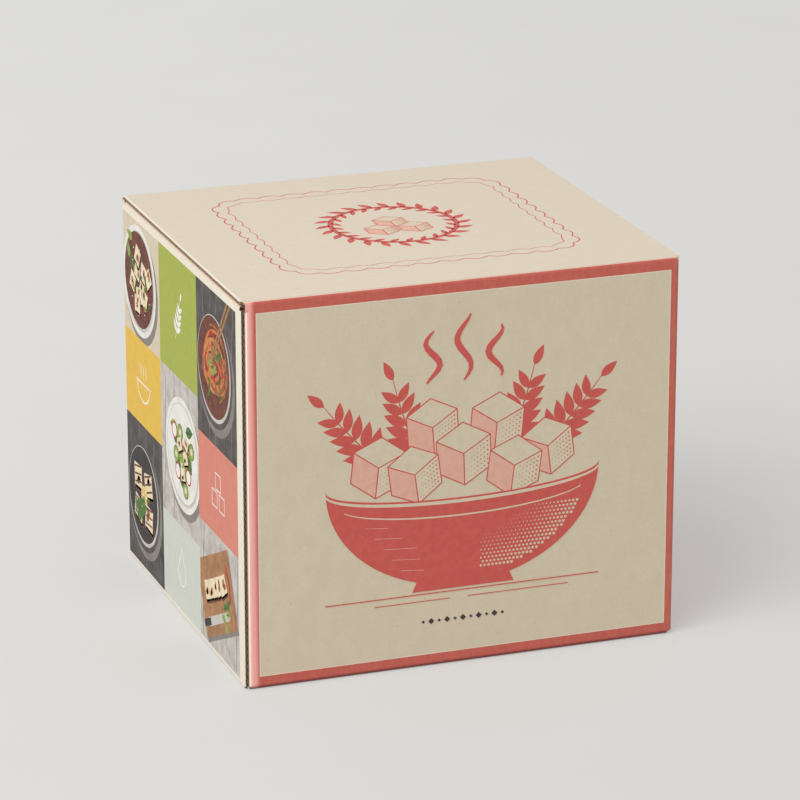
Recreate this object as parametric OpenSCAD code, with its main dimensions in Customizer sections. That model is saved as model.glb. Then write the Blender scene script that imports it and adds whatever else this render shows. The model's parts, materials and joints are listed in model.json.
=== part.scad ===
// Boxed spring tofu press: a corrugated tuck-top carton that holds the packed press.
// Millimetres, +Z up. The origin is under the middle of the carton's bottom.
// The front panel faces -Y, and the top panel is hinged on it.

/* [Carton] */
// Width of the carton's front
carton_w = 195; // [180:1:220]
// Depth of the carton from front to rear
carton_d = 175; // [170:1:200]
// Height of the carton
carton_h = 171; // [160:1:190]
// Thickness of the corrugated board
board_t = 1.5; // [1.2:0.1:1.8]
// Outside radius of the upright folds and of the dust flaps' folds
fold_r = 2.2; // [2:0.1:3]
// Length of the tuck flap from its fold
tuck_len = 32; // [25:1:34]
// Length of a dust flap from its fold
dust_len = 50; // [30:1:60]
// Width of the tab that is glued inside the left panel
tab_w = 28; // [15:1:40]

/* [Container] */
// Width of the container under its flange
tub_w = 151; // [145:1:155]
// Depth of the container under its flange
tub_d = 133.4; // [128:0.2:137]
// Height of the flange's top face, where the lid sits
tub_h = 107.4; // [100:0.2:112]
// Wall thickness of the container
tub_wall = 2.2; // [1.6:0.1:2.4]
// Floor thickness of the container
tub_floor = 2.4; // [1.8:0.1:3.5]
// Radius of the container's upright corners
tub_corner_r = 22; // [18:1:26]
// Radius between the container's walls and its underside
tub_foot_r = 11.8; // [8:0.2:13]
// How much each wall leans in from the flange to the underside
tub_draft = 1.6; // [1:0.1:2]
// How far the flange stands out of the wall
flange_out = 3.8; // [3.2:0.1:4.2]
// Thickness of the flange
flange_t = 2.6; // [1.8:0.1:3.2]
// Height of the rim that stands above the flange, inside the lid
rim_h = 11; // [8:0.5:13]

/* [Basket] */
// Clearance between the basket's mouth and the container's wall
basket_gap = 1.1; // [0.8:0.1:2]
// Wall thickness of the basket
basket_wall = 2; // [1.5:0.1:2.2]
// How far each side of the basket's mouth stands out of the chamber
neck_out = 4.4; // [3:0.1:4.6]
// Height of the flare between the chamber and the mouth
neck_h = 11.8; // [8:0.2:14]
// Height of the straight mouth above the flare
mouth_h = 5.9; // [3:0.1:7]
// Height of the pressing chamber up to the flare
chamber_h = 68.6; // [60:0.2:72]
// Radius of the basket's feet
foot_r = 12.1; // [9:0.1:14]
// Height of a foot above its pad
foot_h = 11.3; // [8:0.1:14]
// Thickness of a foot pad
pad_h = 5.9; // [3:0.1:8]
// Distance from the chamber's sides to the middle of a foot
foot_in_x = 17.8; // [14:0.2:22]
// Distance from the chamber's front and rear to the middle of a foot
foot_in_y = 18; // [14:0.2:22]
// Width of a drain slot
slot_w = 2.6; // [1.5:0.1:4]
// Length of a drain slot
slot_len = 13; // [8:0.5:15]
// Distance between drain slots, side by side
slot_pitch = 8; // [6:0.5:12]

/* [Lid] */
// Height of the lid's side
lid_side_h = 18.3; // [16:0.1:22]
// How far the lid's side stands outside the container's wall
lid_out = 6.15; // [5.8:0.05:6.6]
// Height of the lid's crown above its side
crown_h = 1.9; // [1:0.1:3]
// Thickness of the lid's top over the seal
lid_top_t = 5.2; // [4.6:0.1:6]
// Distance that the liner reaches below the lid's lower edge
liner_drop = 11.8; // [8:0.2:13]
// Wall thickness of the liner
liner_wall = 2; // [1.5:0.1:3]

/* [Knob and column] */
// Radius of the knob
knob_r = 38; // [34:0.5:42]
// Height of the knob above the lid's crown
knob_h = 22.3; // [20:0.1:26]
// Width of the coloured ring round the knob's edge
ring_w = 4; // [3:0.1:5]
// Height of the coloured ring
ring_h = 8; // [5:0.5:12]
// Outside radius of the column
column_r = 15.75; // [15:0.05:16.5]
// Wall thickness of the column
column_wall = 2.5; // [2:0.1:2.6]
// Radius of the collar that guides the column
collar_r = 25; // [23:0.5:28]
// Height of the collar below the liner
collar_h = 8.2; // [5:0.1:10]
// Travel of the plate, column and spring
travel = 29; // [20:1:29]
// Running clearance of the column in its collar
slide_clear = 0.1; // [0.05:0.05:0.2]
// Diameter of the spring wire
wire_d = 2.4; // [1.8:0.1:2.6]
// Turns of the main spring
spring_turns = 12; // [8:1:14]
// Thickness of the pressure plate
plate_h = 5.9; // [4:0.1:8]
// Clearance between the pressure plate and the chamber's walls
plate_clear = 1.55; // [1:0.05:3]

/* [Latches] */
// Width of the front and rear latches
latch_long = 119; // [100:1:122]
// Width of the left and right latches
latch_short = 103; // [80:1:104]
// Thickness of a latch plate
latch_t = 2.4; // [1.8:0.1:2.6]
// How far the latch's lower edge flares out of the lid
latch_flare = 4.4; // [2:0.1:6]
// Radius of a latch's lower corners
latch_corner_r = 9.4; // [5:0.2:12]
// Radius of a latch's hinge pin
pin_r = 1.2; // [1:0.05:1.25]

/* [Hidden] */
$fn = 64;

// Carton, derived
half_w = carton_w / 2;
half_d = carton_d / 2;
crisp_r = board_t; // outside radius of the sharper folds at the top and the bottom
nick = 0.2; // cut that frees one panel's corner from the next
end_gap = 0.3; // between the top panel and the dust flaps under it
dust_z = carton_h - board_t - end_gap; // upper face of the dust flaps
side_high = dust_z - fold_r; // where the side panels turn into their dust flaps
glue_line = 0.1; // thickness of the glue on the tab
raw_inset = 0.6; // from the front panel's face to the left panel's raw edge
tab_face = half_w - board_t - glue_line; // outer face of the tab
top_fold_gap = 1.2; // from a side panel's face to the end of the top panel's front fold
top_fold_half = half_w - top_fold_gap;
tuck_gap = 1; // between the tuck flap and the rear panel
tuck_face = half_d - board_t - tuck_gap; // outer face of the tuck flap
tuck_side_gap = 1.5; // between the tuck flap and the side panels
tuck_fold_gap = 0.5; // from a side panel's fold to the end of the tuck flap's fold
tuck_fold_half = half_w - fold_r - tuck_fold_gap;
tuck_corner_r = 10;
dust_front_gap = 2; // from the front panel's face to a dust flap at its fold
dust_rear_gap = 1.2; // from the tuck flap to a dust flap at its fold
dust_front = -half_d + dust_front_gap;
dust_rear = tuck_face - board_t - dust_rear_gap;
dust_front_slope = 0.5; // of a dust flap's front edge, away from the top panel's fold
dust_rear_slope = 0.1;
dust_corner_r = 6;

// Press, derived: heights count from the carton's floor
pad_low = tub_floor;
foot_low = pad_low + pad_h;
basket_low = foot_low + foot_h;
chamber_high = basket_low + chamber_h;
mouth_low = chamber_high + neck_h;
basket_high = mouth_low + mouth_h;
plan_diff = tub_w - tub_d; // every rounded plan is wider by this much than it is deep
basket_w = tub_w - 2 * (tub_wall + basket_gap + neck_out); // width of the pressing chamber
basket_d = basket_w - plan_diff;
foot_x = basket_w / 2 - foot_in_x;
foot_y = basket_d / 2 - foot_in_y;
basket_corner_r = 18;
basket_foot_r = 4.7; // radius under the basket's walls
spigot_r = 6; // of a foot pad
spigot_h = 5;
lid_w = tub_w + 2 * lid_out;
lid_d = tub_d + 2 * lid_out;
lid_corner_r = tub_corner_r + 2;
lid_low = tub_h;
lid_high = lid_low + lid_side_h;
crown_high = lid_high + crown_h;
cavity_high = lid_high - lid_top_t;
rim_gap = 0.4; // between the container's rim and the lid
seal_in = 1; // how far the seal reaches inside the rim
liner_low = lid_low - liner_drop;
liner_gap = 2.2; // between the liner and the basket's mouth
liner_w = basket_w + 2 * neck_out - 2 * basket_wall - 2 * liner_gap;
collar_low = liner_low - collar_h;
collar_top = liner_low + liner_wall;
collar_neck_r = collar_r - 4.5;
collar_clear = 0.8; // between the plate's top and the collar at full travel
plate_high = collar_low - travel - collar_clear;
plate_low = plate_high - plate_h;
plate_w = basket_w - 2 * basket_wall - 2 * plate_clear;
plate_skin = 2.5;
plate_rib = 2.2;
hub_r = column_r + 4;
column_stop_r = column_r + 3.25;
column_stop_h = 3;
column_floor = 3;
column_spigot_r = 8;
bore_r = column_stop_r + 1; // of the knob's sleeve, round the column's stop
sleeve_wall = 2.5;
sleeve_low = cavity_high - 2.5;
knob_high = crown_high + knob_h;
knob_skin = 3;
knob_ceiling = knob_high - knob_skin;
spring_low = plate_high + column_floor;
spring_high = knob_ceiling - 2; // under the spring guide's head
spring_r = column_r - column_wall - wire_d / 2 - 1.3; // of the wire's centre line
guide_r = spring_r - wire_d / 2 - 1.3;
guide_low = spring_low + travel + 1.5;
end_turn_gap = 0.6; // between the wire's closed end turns
spring_seat_gap = 0.03;
rings_per_turn = 8;
wire_sides = 6;

// Latches, derived: the latch profile counts from its pin, outwards and upwards
pin_in = 2.6; // from the lid's side to the pin
knuckle_r = 2.3;
knuckle_gap = 0.3;
pin_fit = 0.05; // running clearance of the knuckle on its pin
pin_grip = 3; // length of each end of the pin in the lid
pin_z = lid_high - knuckle_r;
latch_side_gap = 0.4;
recess_in = 0.3; // from the pin to the recess's wall, inwards
hook_gap = 0.3;
hook_high = tub_h - flange_t - hook_gap - pin_z;
hook_t = 2.2;
hook_reach = 1.9;
latch_low = -27; // lower edge of a latch, from its pin
flange_edge = flange_out - (lid_out - pin_in); // the flange's edge, from the pin outwards
SIDES = ["rear", "right", "front", "left"];
function side_turn(i) = -90 * i;
function side_reach(i) = (i % 2 == 0 ? lid_d : lid_w) / 2 - pin_in;
function latch_w(i) = i % 2 == 0 ? latch_long : latch_short;

// Outline through sharp corners pts, anticlockwise, each rounded with its radius from radii
function rounded(pts, radii, steps = 6) = [
  for (i = [0:len(pts) - 1])
    let (
      p = pts[i],
      a = pts[(i + len(pts) - 1) % len(pts)] - p,
      b = pts[(i + 1) % len(pts)] - p,
      ua = a / norm(a),
      ub = b / norm(b),
      half = acos(max(-1, min(1, ua * ub))) / 2,
      r = radii[i],
      centre = p + (ua + ub) / norm(ua + ub) * r / sin(half),
      turn = sign(ua[0] * ub[1] - ua[1] * ub[0]),
      first = p + ua * r / tan(half) - centre,
      last = p + ub * r / tan(half) - centre,
      a0 = atan2(first[1], first[0]),
      sweep = -turn * (180 - 2 * half)
    )
    each r == 0 ? [p] : [for (k = [0:steps]) centre + r * [cos(a0 + sweep * k / steps), sin(a0 + sweep * k / steps)]]
];

// Exact rounded rectangle about the origin
module plan(w, d, r) {
  square([w - 2 * r, d], center = true);
  square([w, d - 2 * r], center = true);
  for (x = [-1, 1], y = [-1, 1])
    translate([x * (w / 2 - r), y * (d / 2 - r)]) circle(r);
}

// Ring of points round a rounded rectangle at height z, anticlockwise from above
function ring(w, d, r, z, steps = 6) = [
  for (c = [0:3], k = [0:steps])
    let (a = 90 * (c + k / steps), sx = c == 0 || c == 3 ? 1 : -1, sy = c < 2 ? 1 : -1)
    [sx * (w / 2 - r) + r * cos(a), sy * (d / 2 - r) + r * sin(a), z]
];

// Closed skin through rings of equal length, capped at the first and the last
module loft(rings) {
  n = len(rings[0]);
  last = (len(rings) - 1) * n;
  polyhedron(
    points = [for (points = rings) each points],
    faces = concat(
      [for (k = [1:n - 2]) [0, k, k + 1]],
      [for (row = [0:len(rings) - 2], k = [0:n - 1])
        let (a = row * n + k, b = row * n + (k + 1) % n) each [[a, a + n, b], [b, a + n, b + n]]],
      [for (k = [1:n - 2]) [last, last + k + 1, last + k]]
    )
  );
}

// Profile drawn outwards and upwards, extruded along the width or the depth
module along_x(length) rotate([90, 0, 90]) linear_extrude(length, center = true) children();
module along_y(length) rotate([90, 0, 0]) linear_extrude(length, center = true) children();

// What follows is placed on the carton's floor
module packed() translate([0, 0, board_t]) children();

// ---- Carton ----

// Far end of spoke k of the eight round a fold's inner centre, anticlockwise from the right
function spoke(k) = 2 * fold_r * [[1, 0], [1, 1], [0, 1], [-1, 1], [-1, 0], [-1, -1], [0, -1], [1, -1]][k];

// Section of folded board from spoke a to spoke b, with its outside radius
module bend(a, b, outside = fold_r) intersection() {
  difference() {
    circle(outside);
    if (outside > board_t) circle(outside - board_t);
  }
  polygon([[0, 0], for (k = [a:b]) spoke(k)]);
}

// Plan of the four walls, with the tab that turns in behind the left wall's raw front edge
module wall_plan() {
  bend_x = -tab_face + fold_r;
  bend_y = -half_d + fold_r;
  difference() {
    plan(carton_w, carton_d, fold_r);
    plan(carton_w - 2 * board_t, carton_d - 2 * board_t, fold_r - board_t);
    translate([-half_w - 1, -half_d - 1]) square([bend_x + half_w + 1, fold_r + 1]);
  }
  translate([-half_w, -half_d + raw_inset]) square([board_t, fold_r]);
  translate([bend_x, bend_y]) bend(4, 6);
  translate([-tab_face, bend_y]) square([board_t, tab_w]);
  // Glue, from behind the fold to the tab's end
  translate([-tab_face - 2 * glue_line, bend_y + fold_r]) square([3 * glue_line, tab_w - fold_r - 1]);
}

module carton_wrap() color([0.87, 0.83, 0.75]) {
  translate([0, 0, board_t]) linear_extrude(side_high - board_t) wall_plan();
  // The front and rear walls and their round corners stand higher than the sides
  translate([0, 0, board_t]) linear_extrude(dust_z - board_t) intersection() {
    wall_plan();
    union() {
      translate([-tab_face, -half_d]) square([tab_face + half_w, fold_r - nick]);
      translate([-half_w, dust_rear + nick]) square([carton_w, half_d - dust_rear]);
    }
  }
  // The front wall turns into its half of the top panel's fold
  along_x(2 * top_fold_half) {
    translate([-half_d, side_high]) square([board_t, carton_h - crisp_r - side_high]);
    translate([-half_d + crisp_r, carton_h - crisp_r]) bend(3, 4, crisp_r);
  }
  // Each side wall turns into its half of a dust flap's fold
  for (x = [0, 1]) mirror([x, 0, 0])
    translate([-half_w + fold_r, (dust_front + dust_rear) / 2, side_high])
      along_y(dust_rear - dust_front) bend(3, 4);
  // Bottom, with its four folds and its notched corners
  low_w = carton_w - 2 * fold_r - 2 * nick;
  low_d = carton_d - 2 * fold_r - 2 * nick;
  linear_extrude(board_t) {
    square([carton_w - 2 * board_t, low_d], center = true);
    square([low_w, carton_d - 2 * board_t], center = true);
  }
  for (y = [0, 1]) mirror([0, y, 0]) translate([0, -half_d + board_t, board_t])
    along_x(low_w) bend(4, 6, board_t);
  for (x = [0, 1]) mirror([x, 0, 0]) translate([-half_w + board_t, 0, board_t])
    along_y(low_d) bend(4, 6, board_t);
}

// Top panel, from its half of the front fold to its half of the tuck flap's fold
module top_panel() color([0.9, 0.86, 0.78]) {
  front = -half_d + crisp_r;
  rear = tuck_face - board_t;
  translate([-half_w, front + nick, carton_h - board_t]) cube([carton_w, rear - front - nick, board_t]);
  along_x(2 * top_fold_half) {
    translate([front, carton_h - board_t]) square([fold_r, board_t]);
    translate([front, carton_h - crisp_r]) bend(2, 3, crisp_r);
  }
  translate([0, rear, carton_h - board_t]) along_x(2 * tuck_fold_half) {
    bend(1, 2, board_t);
    translate([-board_t, 0]) square(board_t);
  }
}

// Tuck flap, from its half of the fold down to its round free corners
module top_tuck() color([0.88, 0.83, 0.72]) {
  tuck_half = half_w - board_t - tuck_side_gap;
  fold_y = tuck_face - board_t;
  fold_z = carton_h - board_t;
  translate([0, fold_y, fold_z]) along_x(2 * tuck_fold_half) {
    bend(0, 1, board_t);
    translate([0, -board_t]) square(board_t);
  }
  translate([0, tuck_face, 0]) rotate([90, 0, 0]) linear_extrude(board_t)
    polygon(rounded(
      [[-tuck_half, fold_z], [-tuck_half, carton_h - tuck_len], [tuck_half, carton_h - tuck_len], [tuck_half, fold_z]],
      [0, tuck_corner_r, tuck_corner_r, 0]
    ));
}

// Dust flap at the left: its front and rear edges run in towards its free end
module dust_flap() color([0.88, 0.83, 0.72]) {
  flat = dust_len - fold_r;
  fold_x = -half_w + fold_r;
  translate([fold_x, (dust_front + dust_rear) / 2, side_high]) along_y(dust_rear - dust_front) bend(2, 3);
  translate([fold_x, 0, dust_z - board_t]) linear_extrude(board_t)
    polygon(rounded(
      [
        [0, dust_front], [flat, dust_front + flat * dust_front_slope],
        [flat, dust_rear - flat * dust_rear_slope], [0, dust_rear]
      ],
      [0, dust_corner_r, dust_corner_r, 0]
    ));
}

module left_dust() dust_flap();
module right_dust() mirror([1, 0, 0]) dust_flap();

// ---- Press ----

// Rings of a rounded bottom edge of radius r on a plan w by d with corners c, from z0 upwards
function foot_rings(w, d, c, r, z0, steps = 4) = [
  for (k = [0:steps])
    let (a = 90 * k / steps, inset = r * (1 - sin(a)))
    ring(w - 2 * inset, d - 2 * inset, c - inset, z0 + r * (1 - cos(a)))
];
function flipped(list) = [for (k = [len(list) - 1:-1:0]) list[k]];

module container() color([0.86, 0.9, 0.9, 0.35]) packed() {
  low_w = tub_w - 2 * tub_draft;
  low_d = tub_d - 2 * tub_draft;
  loft(concat(
    foot_rings(low_w, low_d, tub_corner_r - tub_draft, tub_foot_r, 0),
    [
      ring(tub_w, tub_d, tub_corner_r, tub_h - flange_t),
      ring(tub_w + 2 * flange_out, tub_d + 2 * flange_out, tub_corner_r + flange_out, tub_h - flange_t),
      ring(tub_w + 2 * flange_out, tub_d + 2 * flange_out, tub_corner_r + flange_out, tub_h),
      ring(tub_w, tub_d, tub_corner_r, tub_h),
      ring(tub_w, tub_d, tub_corner_r, tub_h + rim_h),
      ring(tub_w - 2 * tub_wall, tub_d - 2 * tub_wall, tub_corner_r - tub_wall, tub_h + rim_h),
      ring(tub_w - 2 * tub_wall, tub_d - 2 * tub_wall, tub_corner_r - tub_wall, tub_h - flange_t)
    ],
    flipped(foot_rings(
      low_w - 2 * tub_wall, low_d - 2 * tub_wall, tub_corner_r - tub_draft - tub_wall,
      tub_foot_r - tub_wall, tub_floor
    ))
  ));
}

// Places the children at each of the four feet
module at_feet() for (x = [-1, 1], y = [-1, 1]) translate([x * foot_x, y * foot_y]) children();

// Outline of the drain slots, kept off the feet
module drain_slots() {
  rows = 5;
  row_pitch = slot_len + 6;
  across = floor((basket_w / 2 - basket_corner_r / 2 - slot_w) / slot_pitch);
  for (i = [-across:across], j = [0:rows - 1]) {
    x = i * slot_pitch;
    y = (j - (rows - 1) / 2) * row_pitch;
    reach = foot_r + 1.5;
    clear_x = abs(abs(x) - foot_x) > reach + slot_w / 2;
    clear_y = abs(abs(y) - foot_y) > reach + slot_len / 2;
    if (clear_x || clear_y) translate([x, y]) square([slot_w, slot_len], center = true);
  }
}

module basket() color([0.86, 0.47, 0.4]) packed() {
  mouth_w = basket_w + 2 * neck_out;
  mouth_d = mouth_w - plan_diff;
  inner = 2 * basket_wall;
  mouth_c = basket_corner_r + neck_out;
  difference() {
    loft(concat(
      foot_rings(basket_w, basket_d, basket_corner_r, basket_foot_r, basket_low),
      [
        ring(basket_w, basket_d, basket_corner_r, chamber_high),
        ring(mouth_w, mouth_d, mouth_c, mouth_low),
        ring(mouth_w, mouth_d, mouth_c, basket_high),
        ring(mouth_w - inner, mouth_d - inner, mouth_c - basket_wall, basket_high),
        ring(mouth_w - inner, mouth_d - inner, mouth_c - basket_wall, mouth_low + basket_wall / 4),
        ring(basket_w - inner, basket_d - inner, basket_corner_r - basket_wall, chamber_high + basket_wall / 4)
      ],
      flipped(foot_rings(
        basket_w - inner, basket_d - inner, basket_corner_r - basket_wall,
        basket_foot_r - basket_wall, basket_low + basket_wall
      ))
    ));
    translate([0, 0, basket_low - 1]) linear_extrude(basket_wall + 2) drain_slots();
  }
  // Feet, each with a blind socket for its pad's spigot
  at_feet() translate([0, 0, foot_low]) difference() {
    cylinder(r = foot_r, h = foot_h + basket_wall / 2);
    translate([0, 0, -1]) cylinder(r = spigot_r, h = spigot_h + 1.5);
  }
}

module foot_pad(i) color([0.62, 0.63, 0.64]) packed() {
  x = i % 2 == 1 ? -foot_x : foot_x;
  y = i > 2 ? foot_y : -foot_y;
  translate([x, y, pad_low]) {
    cylinder(r = foot_r, h = pad_h);
    translate([0, 0, pad_h]) cylinder(r = spigot_r, h = spigot_h);
  }
}

// Turns and moves the children from the pin's own frame to side i of the lid
module at_side(i) rotate([0, 0, side_turn(i)]) translate([0, side_reach(i), pin_z]) children();

// What a latch needs cut out of the lid's side, with its hinge channel and pin holes
module latch_recess(w) {
  wide = w + 2 * latch_side_gap;
  channel_r = knuckle_r + knuckle_gap;
  along_x(wide) {
    circle(channel_r);
    translate([-channel_r, 0]) square([channel_r + pin_in + 1, knuckle_r + crown_h + 1]);
    translate([-recess_in, lid_low - pin_z - 1])
      square([recess_in + pin_in + 1, pin_z - lid_low + 1]);
  }
  along_x(wide + 2 * pin_grip) circle(pin_r);
}

module lid() color([0.9, 0.89, 0.86]) packed() {
  edge = 2.2; // radius of the lid's upper edge
  crown_in = 20; // how far the crown rises over
  difference() {
    loft(concat(
      [ring(lid_w, lid_d, lid_corner_r, lid_low)],
      [for (k = [0:3]) let (a = 30 * k, inset = edge * (1 - cos(a)))
        ring(lid_w - 2 * inset, lid_d - 2 * inset, lid_corner_r - inset, lid_high - edge + edge * sin(a))],
      [ring(lid_w - 2 * crown_in, lid_d - 2 * crown_in, lid_corner_r, crown_high)]
    ));
    translate([0, 0, lid_low - 1]) linear_extrude(cavity_high - lid_low + 1)
      plan(tub_w + 2 * rim_gap, tub_d + 2 * rim_gap, tub_corner_r + rim_gap);
    translate([0, 0, cavity_high - 1]) cylinder(r = bore_r + sleeve_wall, h = lid_top_t + crown_h + 2);
    for (i = [0:3]) at_side(i) latch_recess(latch_w(i));
  }
}

module lid_liner() color([0.86, 0.47, 0.4]) packed() {
  liner_d = liner_w - plan_diff;
  corner = basket_corner_r;
  foot = 5;
  inner = 2 * liner_wall;
  difference() {
    loft(concat(
      foot_rings(liner_w - 4, liner_d - 4, corner, foot, liner_low),
      [
        ring(liner_w, liner_d, corner, cavity_high),
        ring(liner_w - inner, liner_d - inner, corner - liner_wall, cavity_high)
      ],
      flipped(foot_rings(
        liner_w - 4 - inner, liner_d - 4 - inner, corner - liner_wall,
        foot - liner_wall, liner_low + liner_wall
      ))
    ));
    translate([0, 0, liner_low - 1]) cylinder(r = collar_neck_r, h = liner_wall + 2);
  }
}

module lid_seal() color([0.62, 0.63, 0.64]) packed() {
  inset = tub_wall + seal_in;
  translate([0, 0, tub_h + rim_h]) linear_extrude(cavity_high - tub_h - rim_h) difference() {
    plan(tub_w, tub_d, tub_corner_r);
    plan(tub_w - 2 * inset, tub_d - 2 * inset, tub_corner_r - inset);
  }
}

// Hollow knob with an inner sleeve that the column's stop slides up into
module knob_housing() color([0.93, 0.92, 0.89]) packed() {
  skin = knob_skin;
  outer_r = knob_r - 0.8;
  step_r = knob_r - ring_w;
  step_z = knob_high - ring_h;
  sleeve_r = bore_r + sleeve_wall;
  rotate_extrude() polygon([
    [bore_r, sleeve_low], [sleeve_r, sleeve_low], [sleeve_r, knob_ceiling - 2],
    [step_r - skin, knob_ceiling - 2], [step_r - skin, step_z - skin],
    [outer_r - skin, step_z - skin], [outer_r - skin, crown_high],
    [outer_r, crown_high], [outer_r, step_z], [step_r, step_z],
    [step_r, knob_high - 0.8], [step_r - 0.8, knob_high], [0, knob_high],
    [0, knob_ceiling], [bore_r, knob_ceiling]
  ]);
}

module knob_ring() color([0.73, 0.36, 0.32]) packed() {
  round_r = 1.9;
  low = knob_high - ring_h;
  rotate_extrude() polygon(rounded(
    [[knob_r - ring_w, low], [knob_r, low], [knob_r, knob_high], [knob_r - ring_w, knob_high]],
    [0, 0.8, round_r, 0]
  ));
}

module collar() color([0.86, 0.47, 0.4]) packed() {
  bore = column_r + slide_clear;
  rotate_extrude() polygon([
    [bore, collar_low], [collar_r - 1, collar_low], [collar_r, collar_low + 1],
    [collar_r, liner_low], [collar_neck_r, liner_low], [collar_neck_r, collar_top], [bore, collar_top]
  ]);
}

// Tube that hangs from the knob's ceiling and keeps the spring straight
module spring_guide() color([0.93, 0.92, 0.89]) packed() {
  head_r = bore_r - 1;
  bore = guide_r - 2;
  rotate_extrude() polygon([
    [bore, guide_low], [guide_r - 1, guide_low], [guide_r, guide_low + 1], [guide_r, spring_high],
    [head_r, spring_high], [head_r, knob_ceiling], [bore, knob_ceiling]
  ]);
}

// Height of the wire's centre after t turns: one closed turn at each end, an even pitch between
function spring_z(t) =
  let (
    end_pitch = wire_d + end_turn_gap,
    low = spring_low + wire_d / 2 + spring_seat_gap,
    high = spring_high - wire_d / 2 - spring_seat_gap,
    pitch = (high - low - 2 * end_pitch) / (spring_turns - 2)
  )
  t < 1 ? low + end_pitch * t
  : t > spring_turns - 1 ? high - end_pitch * (spring_turns - t)
  : low + end_pitch + pitch * (t - 1);
spring_line = [
  for (k = [0:spring_turns * rings_per_turn])
    let (t = k / rings_per_turn) [spring_r * cos(360 * t), spring_r * sin(360 * t), spring_z(t)]
];
// Least gap between the wire and itself, over points at least half a turn apart
spring_gap = min([
  for (a = [0:len(spring_line) - 1], b = [a + 1:len(spring_line) - 1])
    if (b - a >= rings_per_turn / 2) norm(spring_line[a] - spring_line[b]) - wire_d
]);

module main_spring() color([0.75, 0.76, 0.78]) packed() {
  n = wire_sides;
  last = (len(spring_line) - 1) * n;
  polyhedron(
    points = [
      for (k = [0:len(spring_line) - 1], s = [0:n - 1])
        let (turn = 360 * k / rings_per_turn, a = 360 * s / n)
        spring_line[k] + wire_d / 2 * [cos(a) * cos(turn), cos(a) * sin(turn), sin(a)]
    ],
    faces = concat(
      [for (s = [1:n - 2]) [0, s + 1, s]],
      [for (k = [0:len(spring_line) - 2], s = [0:n - 1])
        let (a = k * n + s, b = k * n + (s + 1) % n) each [[a, b, a + n], [b, b + n, a + n]]],
      [for (s = [1:n - 2]) [last, last + s, last + s + 1]]
    )
  );
}

// Tube with a closed foot on the plate and a stop that rests on the collar
module column() color([0.86, 0.47, 0.4]) packed() {
  inner = column_r - column_wall;
  stop_high = collar_top + column_stop_h;
  rotate_extrude() polygon([
    [0, plate_low], [column_spigot_r, plate_low], [column_spigot_r, plate_high],
    [column_r, plate_high], [column_r, collar_top], [column_stop_r, collar_top],
    [column_stop_r, stop_high - 0.6], [column_stop_r - 0.6, stop_high],
    [inner, stop_high], [inner, spring_low], [0, spring_low]
  ]);
}

module pressure_plate() color([0.86, 0.47, 0.4]) packed() {
  plate_d = plate_w - plan_diff;
  corner = basket_corner_r - basket_wall - plate_clear;
  difference() {
    union() {
      translate([0, 0, plate_low]) linear_extrude(plate_skin) plan(plate_w, plate_d, corner);
      translate([0, 0, plate_low]) linear_extrude(plate_h) {
        difference() {
          plan(plate_w, plate_d, corner);
          plan(plate_w - 2 * plate_rib, plate_d - 2 * plate_rib, corner - plate_rib);
        }
        intersection() {
          plan(plate_w, plate_d, corner);
          for (a = [0:45:135]) rotate(a) square([2 * plate_w, plate_rib], center = true);
        }
        circle(hub_r);
      }
    }
    translate([0, 0, plate_low - 1]) cylinder(r = column_spigot_r, h = plate_h + 2);
  }
}

// Latch in its pin's frame: a knuckle, a plate that flares out at its lower edge, and a hook
module latch(w) {
  plate_in = flange_edge + 0.45; // inner face beside the flange
  top_out = pin_in; // outer face, flush with the lid's side
  tip_out = pin_in + latch_flare;
  waist_z = -9; // where the plate's inner face starts to lean out
  difference() {
    along_x(w) difference() {
      union() {
        circle(knuckle_r);
        polygon([
          [0, -knuckle_r + 0.3], [top_out - latch_t, -knuckle_r - 0.3], [top_out - latch_t + 0.1, waist_z],
          [plate_in, hook_high + 4], [plate_in, hook_high], [0.5 - hook_reach, hook_high],
          [-hook_reach, hook_high - 0.6], [-hook_reach, hook_high - 1.4],
          [0.8 - hook_reach, hook_high - hook_t], [plate_in + 0.4, hook_high - hook_t],
          [plate_in + 2.2, latch_low + 3.4], [tip_out - latch_t + 0.3, latch_low],
          [tip_out - 0.6, latch_low], [tip_out, latch_low + 0.7], [tip_out - 2, latch_low + 5],
          [top_out + 0.9, hook_high + 2.6], [top_out + 0.2, waist_z], [top_out, -2], [knuckle_r - 0.05, 0.4]
        ]);
      }
      circle(pin_r + pin_fit);
    }
    for (x = [0, 1]) mirror([x, 0, 0])
      translate([w / 2 - latch_corner_r, 0, latch_low + latch_corner_r]) rotate([90, 0, 0])
        linear_extrude(4 * latch_corner_r, center = true) difference() {
          translate([0, -latch_corner_r - 1]) square(latch_corner_r + 1);
          circle(latch_corner_r);
        }
  }
}

module side_latch(i) color([0.86, 0.47, 0.4]) packed() at_side(i) latch(latch_w(i));
module side_pin(i) color([0.75, 0.76, 0.78]) packed() at_side(i)
  rotate([0, 90, 0]) cylinder(r = pin_r, h = latch_w(i) + 2 * (latch_side_gap + pin_grip), center = true);

echo(spring_self_gap = spring_gap);

carton_wrap();
top_panel();
top_tuck();
left_dust();
right_dust();
container();
basket();
for (i = [1:4]) foot_pad(i);
lid();
lid_liner();
lid_seal();
knob_housing();
knob_ring();
collar();
spring_guide();
main_spring();
column();
pressure_plate();
for (i = [0:3]) side_latch(i);
for (i = [0:3]) side_pin(i);
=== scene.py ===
"""Looks of a boxed spring tofu press: a printed corrugated carton and the press packed in it."""
import json
import logging
import math
import random
from contextlib import contextmanager
from dataclasses import dataclass
from enum import Enum
from functools import reduce
from typing import Iterator, Sequence

import bpy
from mathutils import Matrix, Vector
from mathutils.geometry import tessellate_polygon


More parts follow.
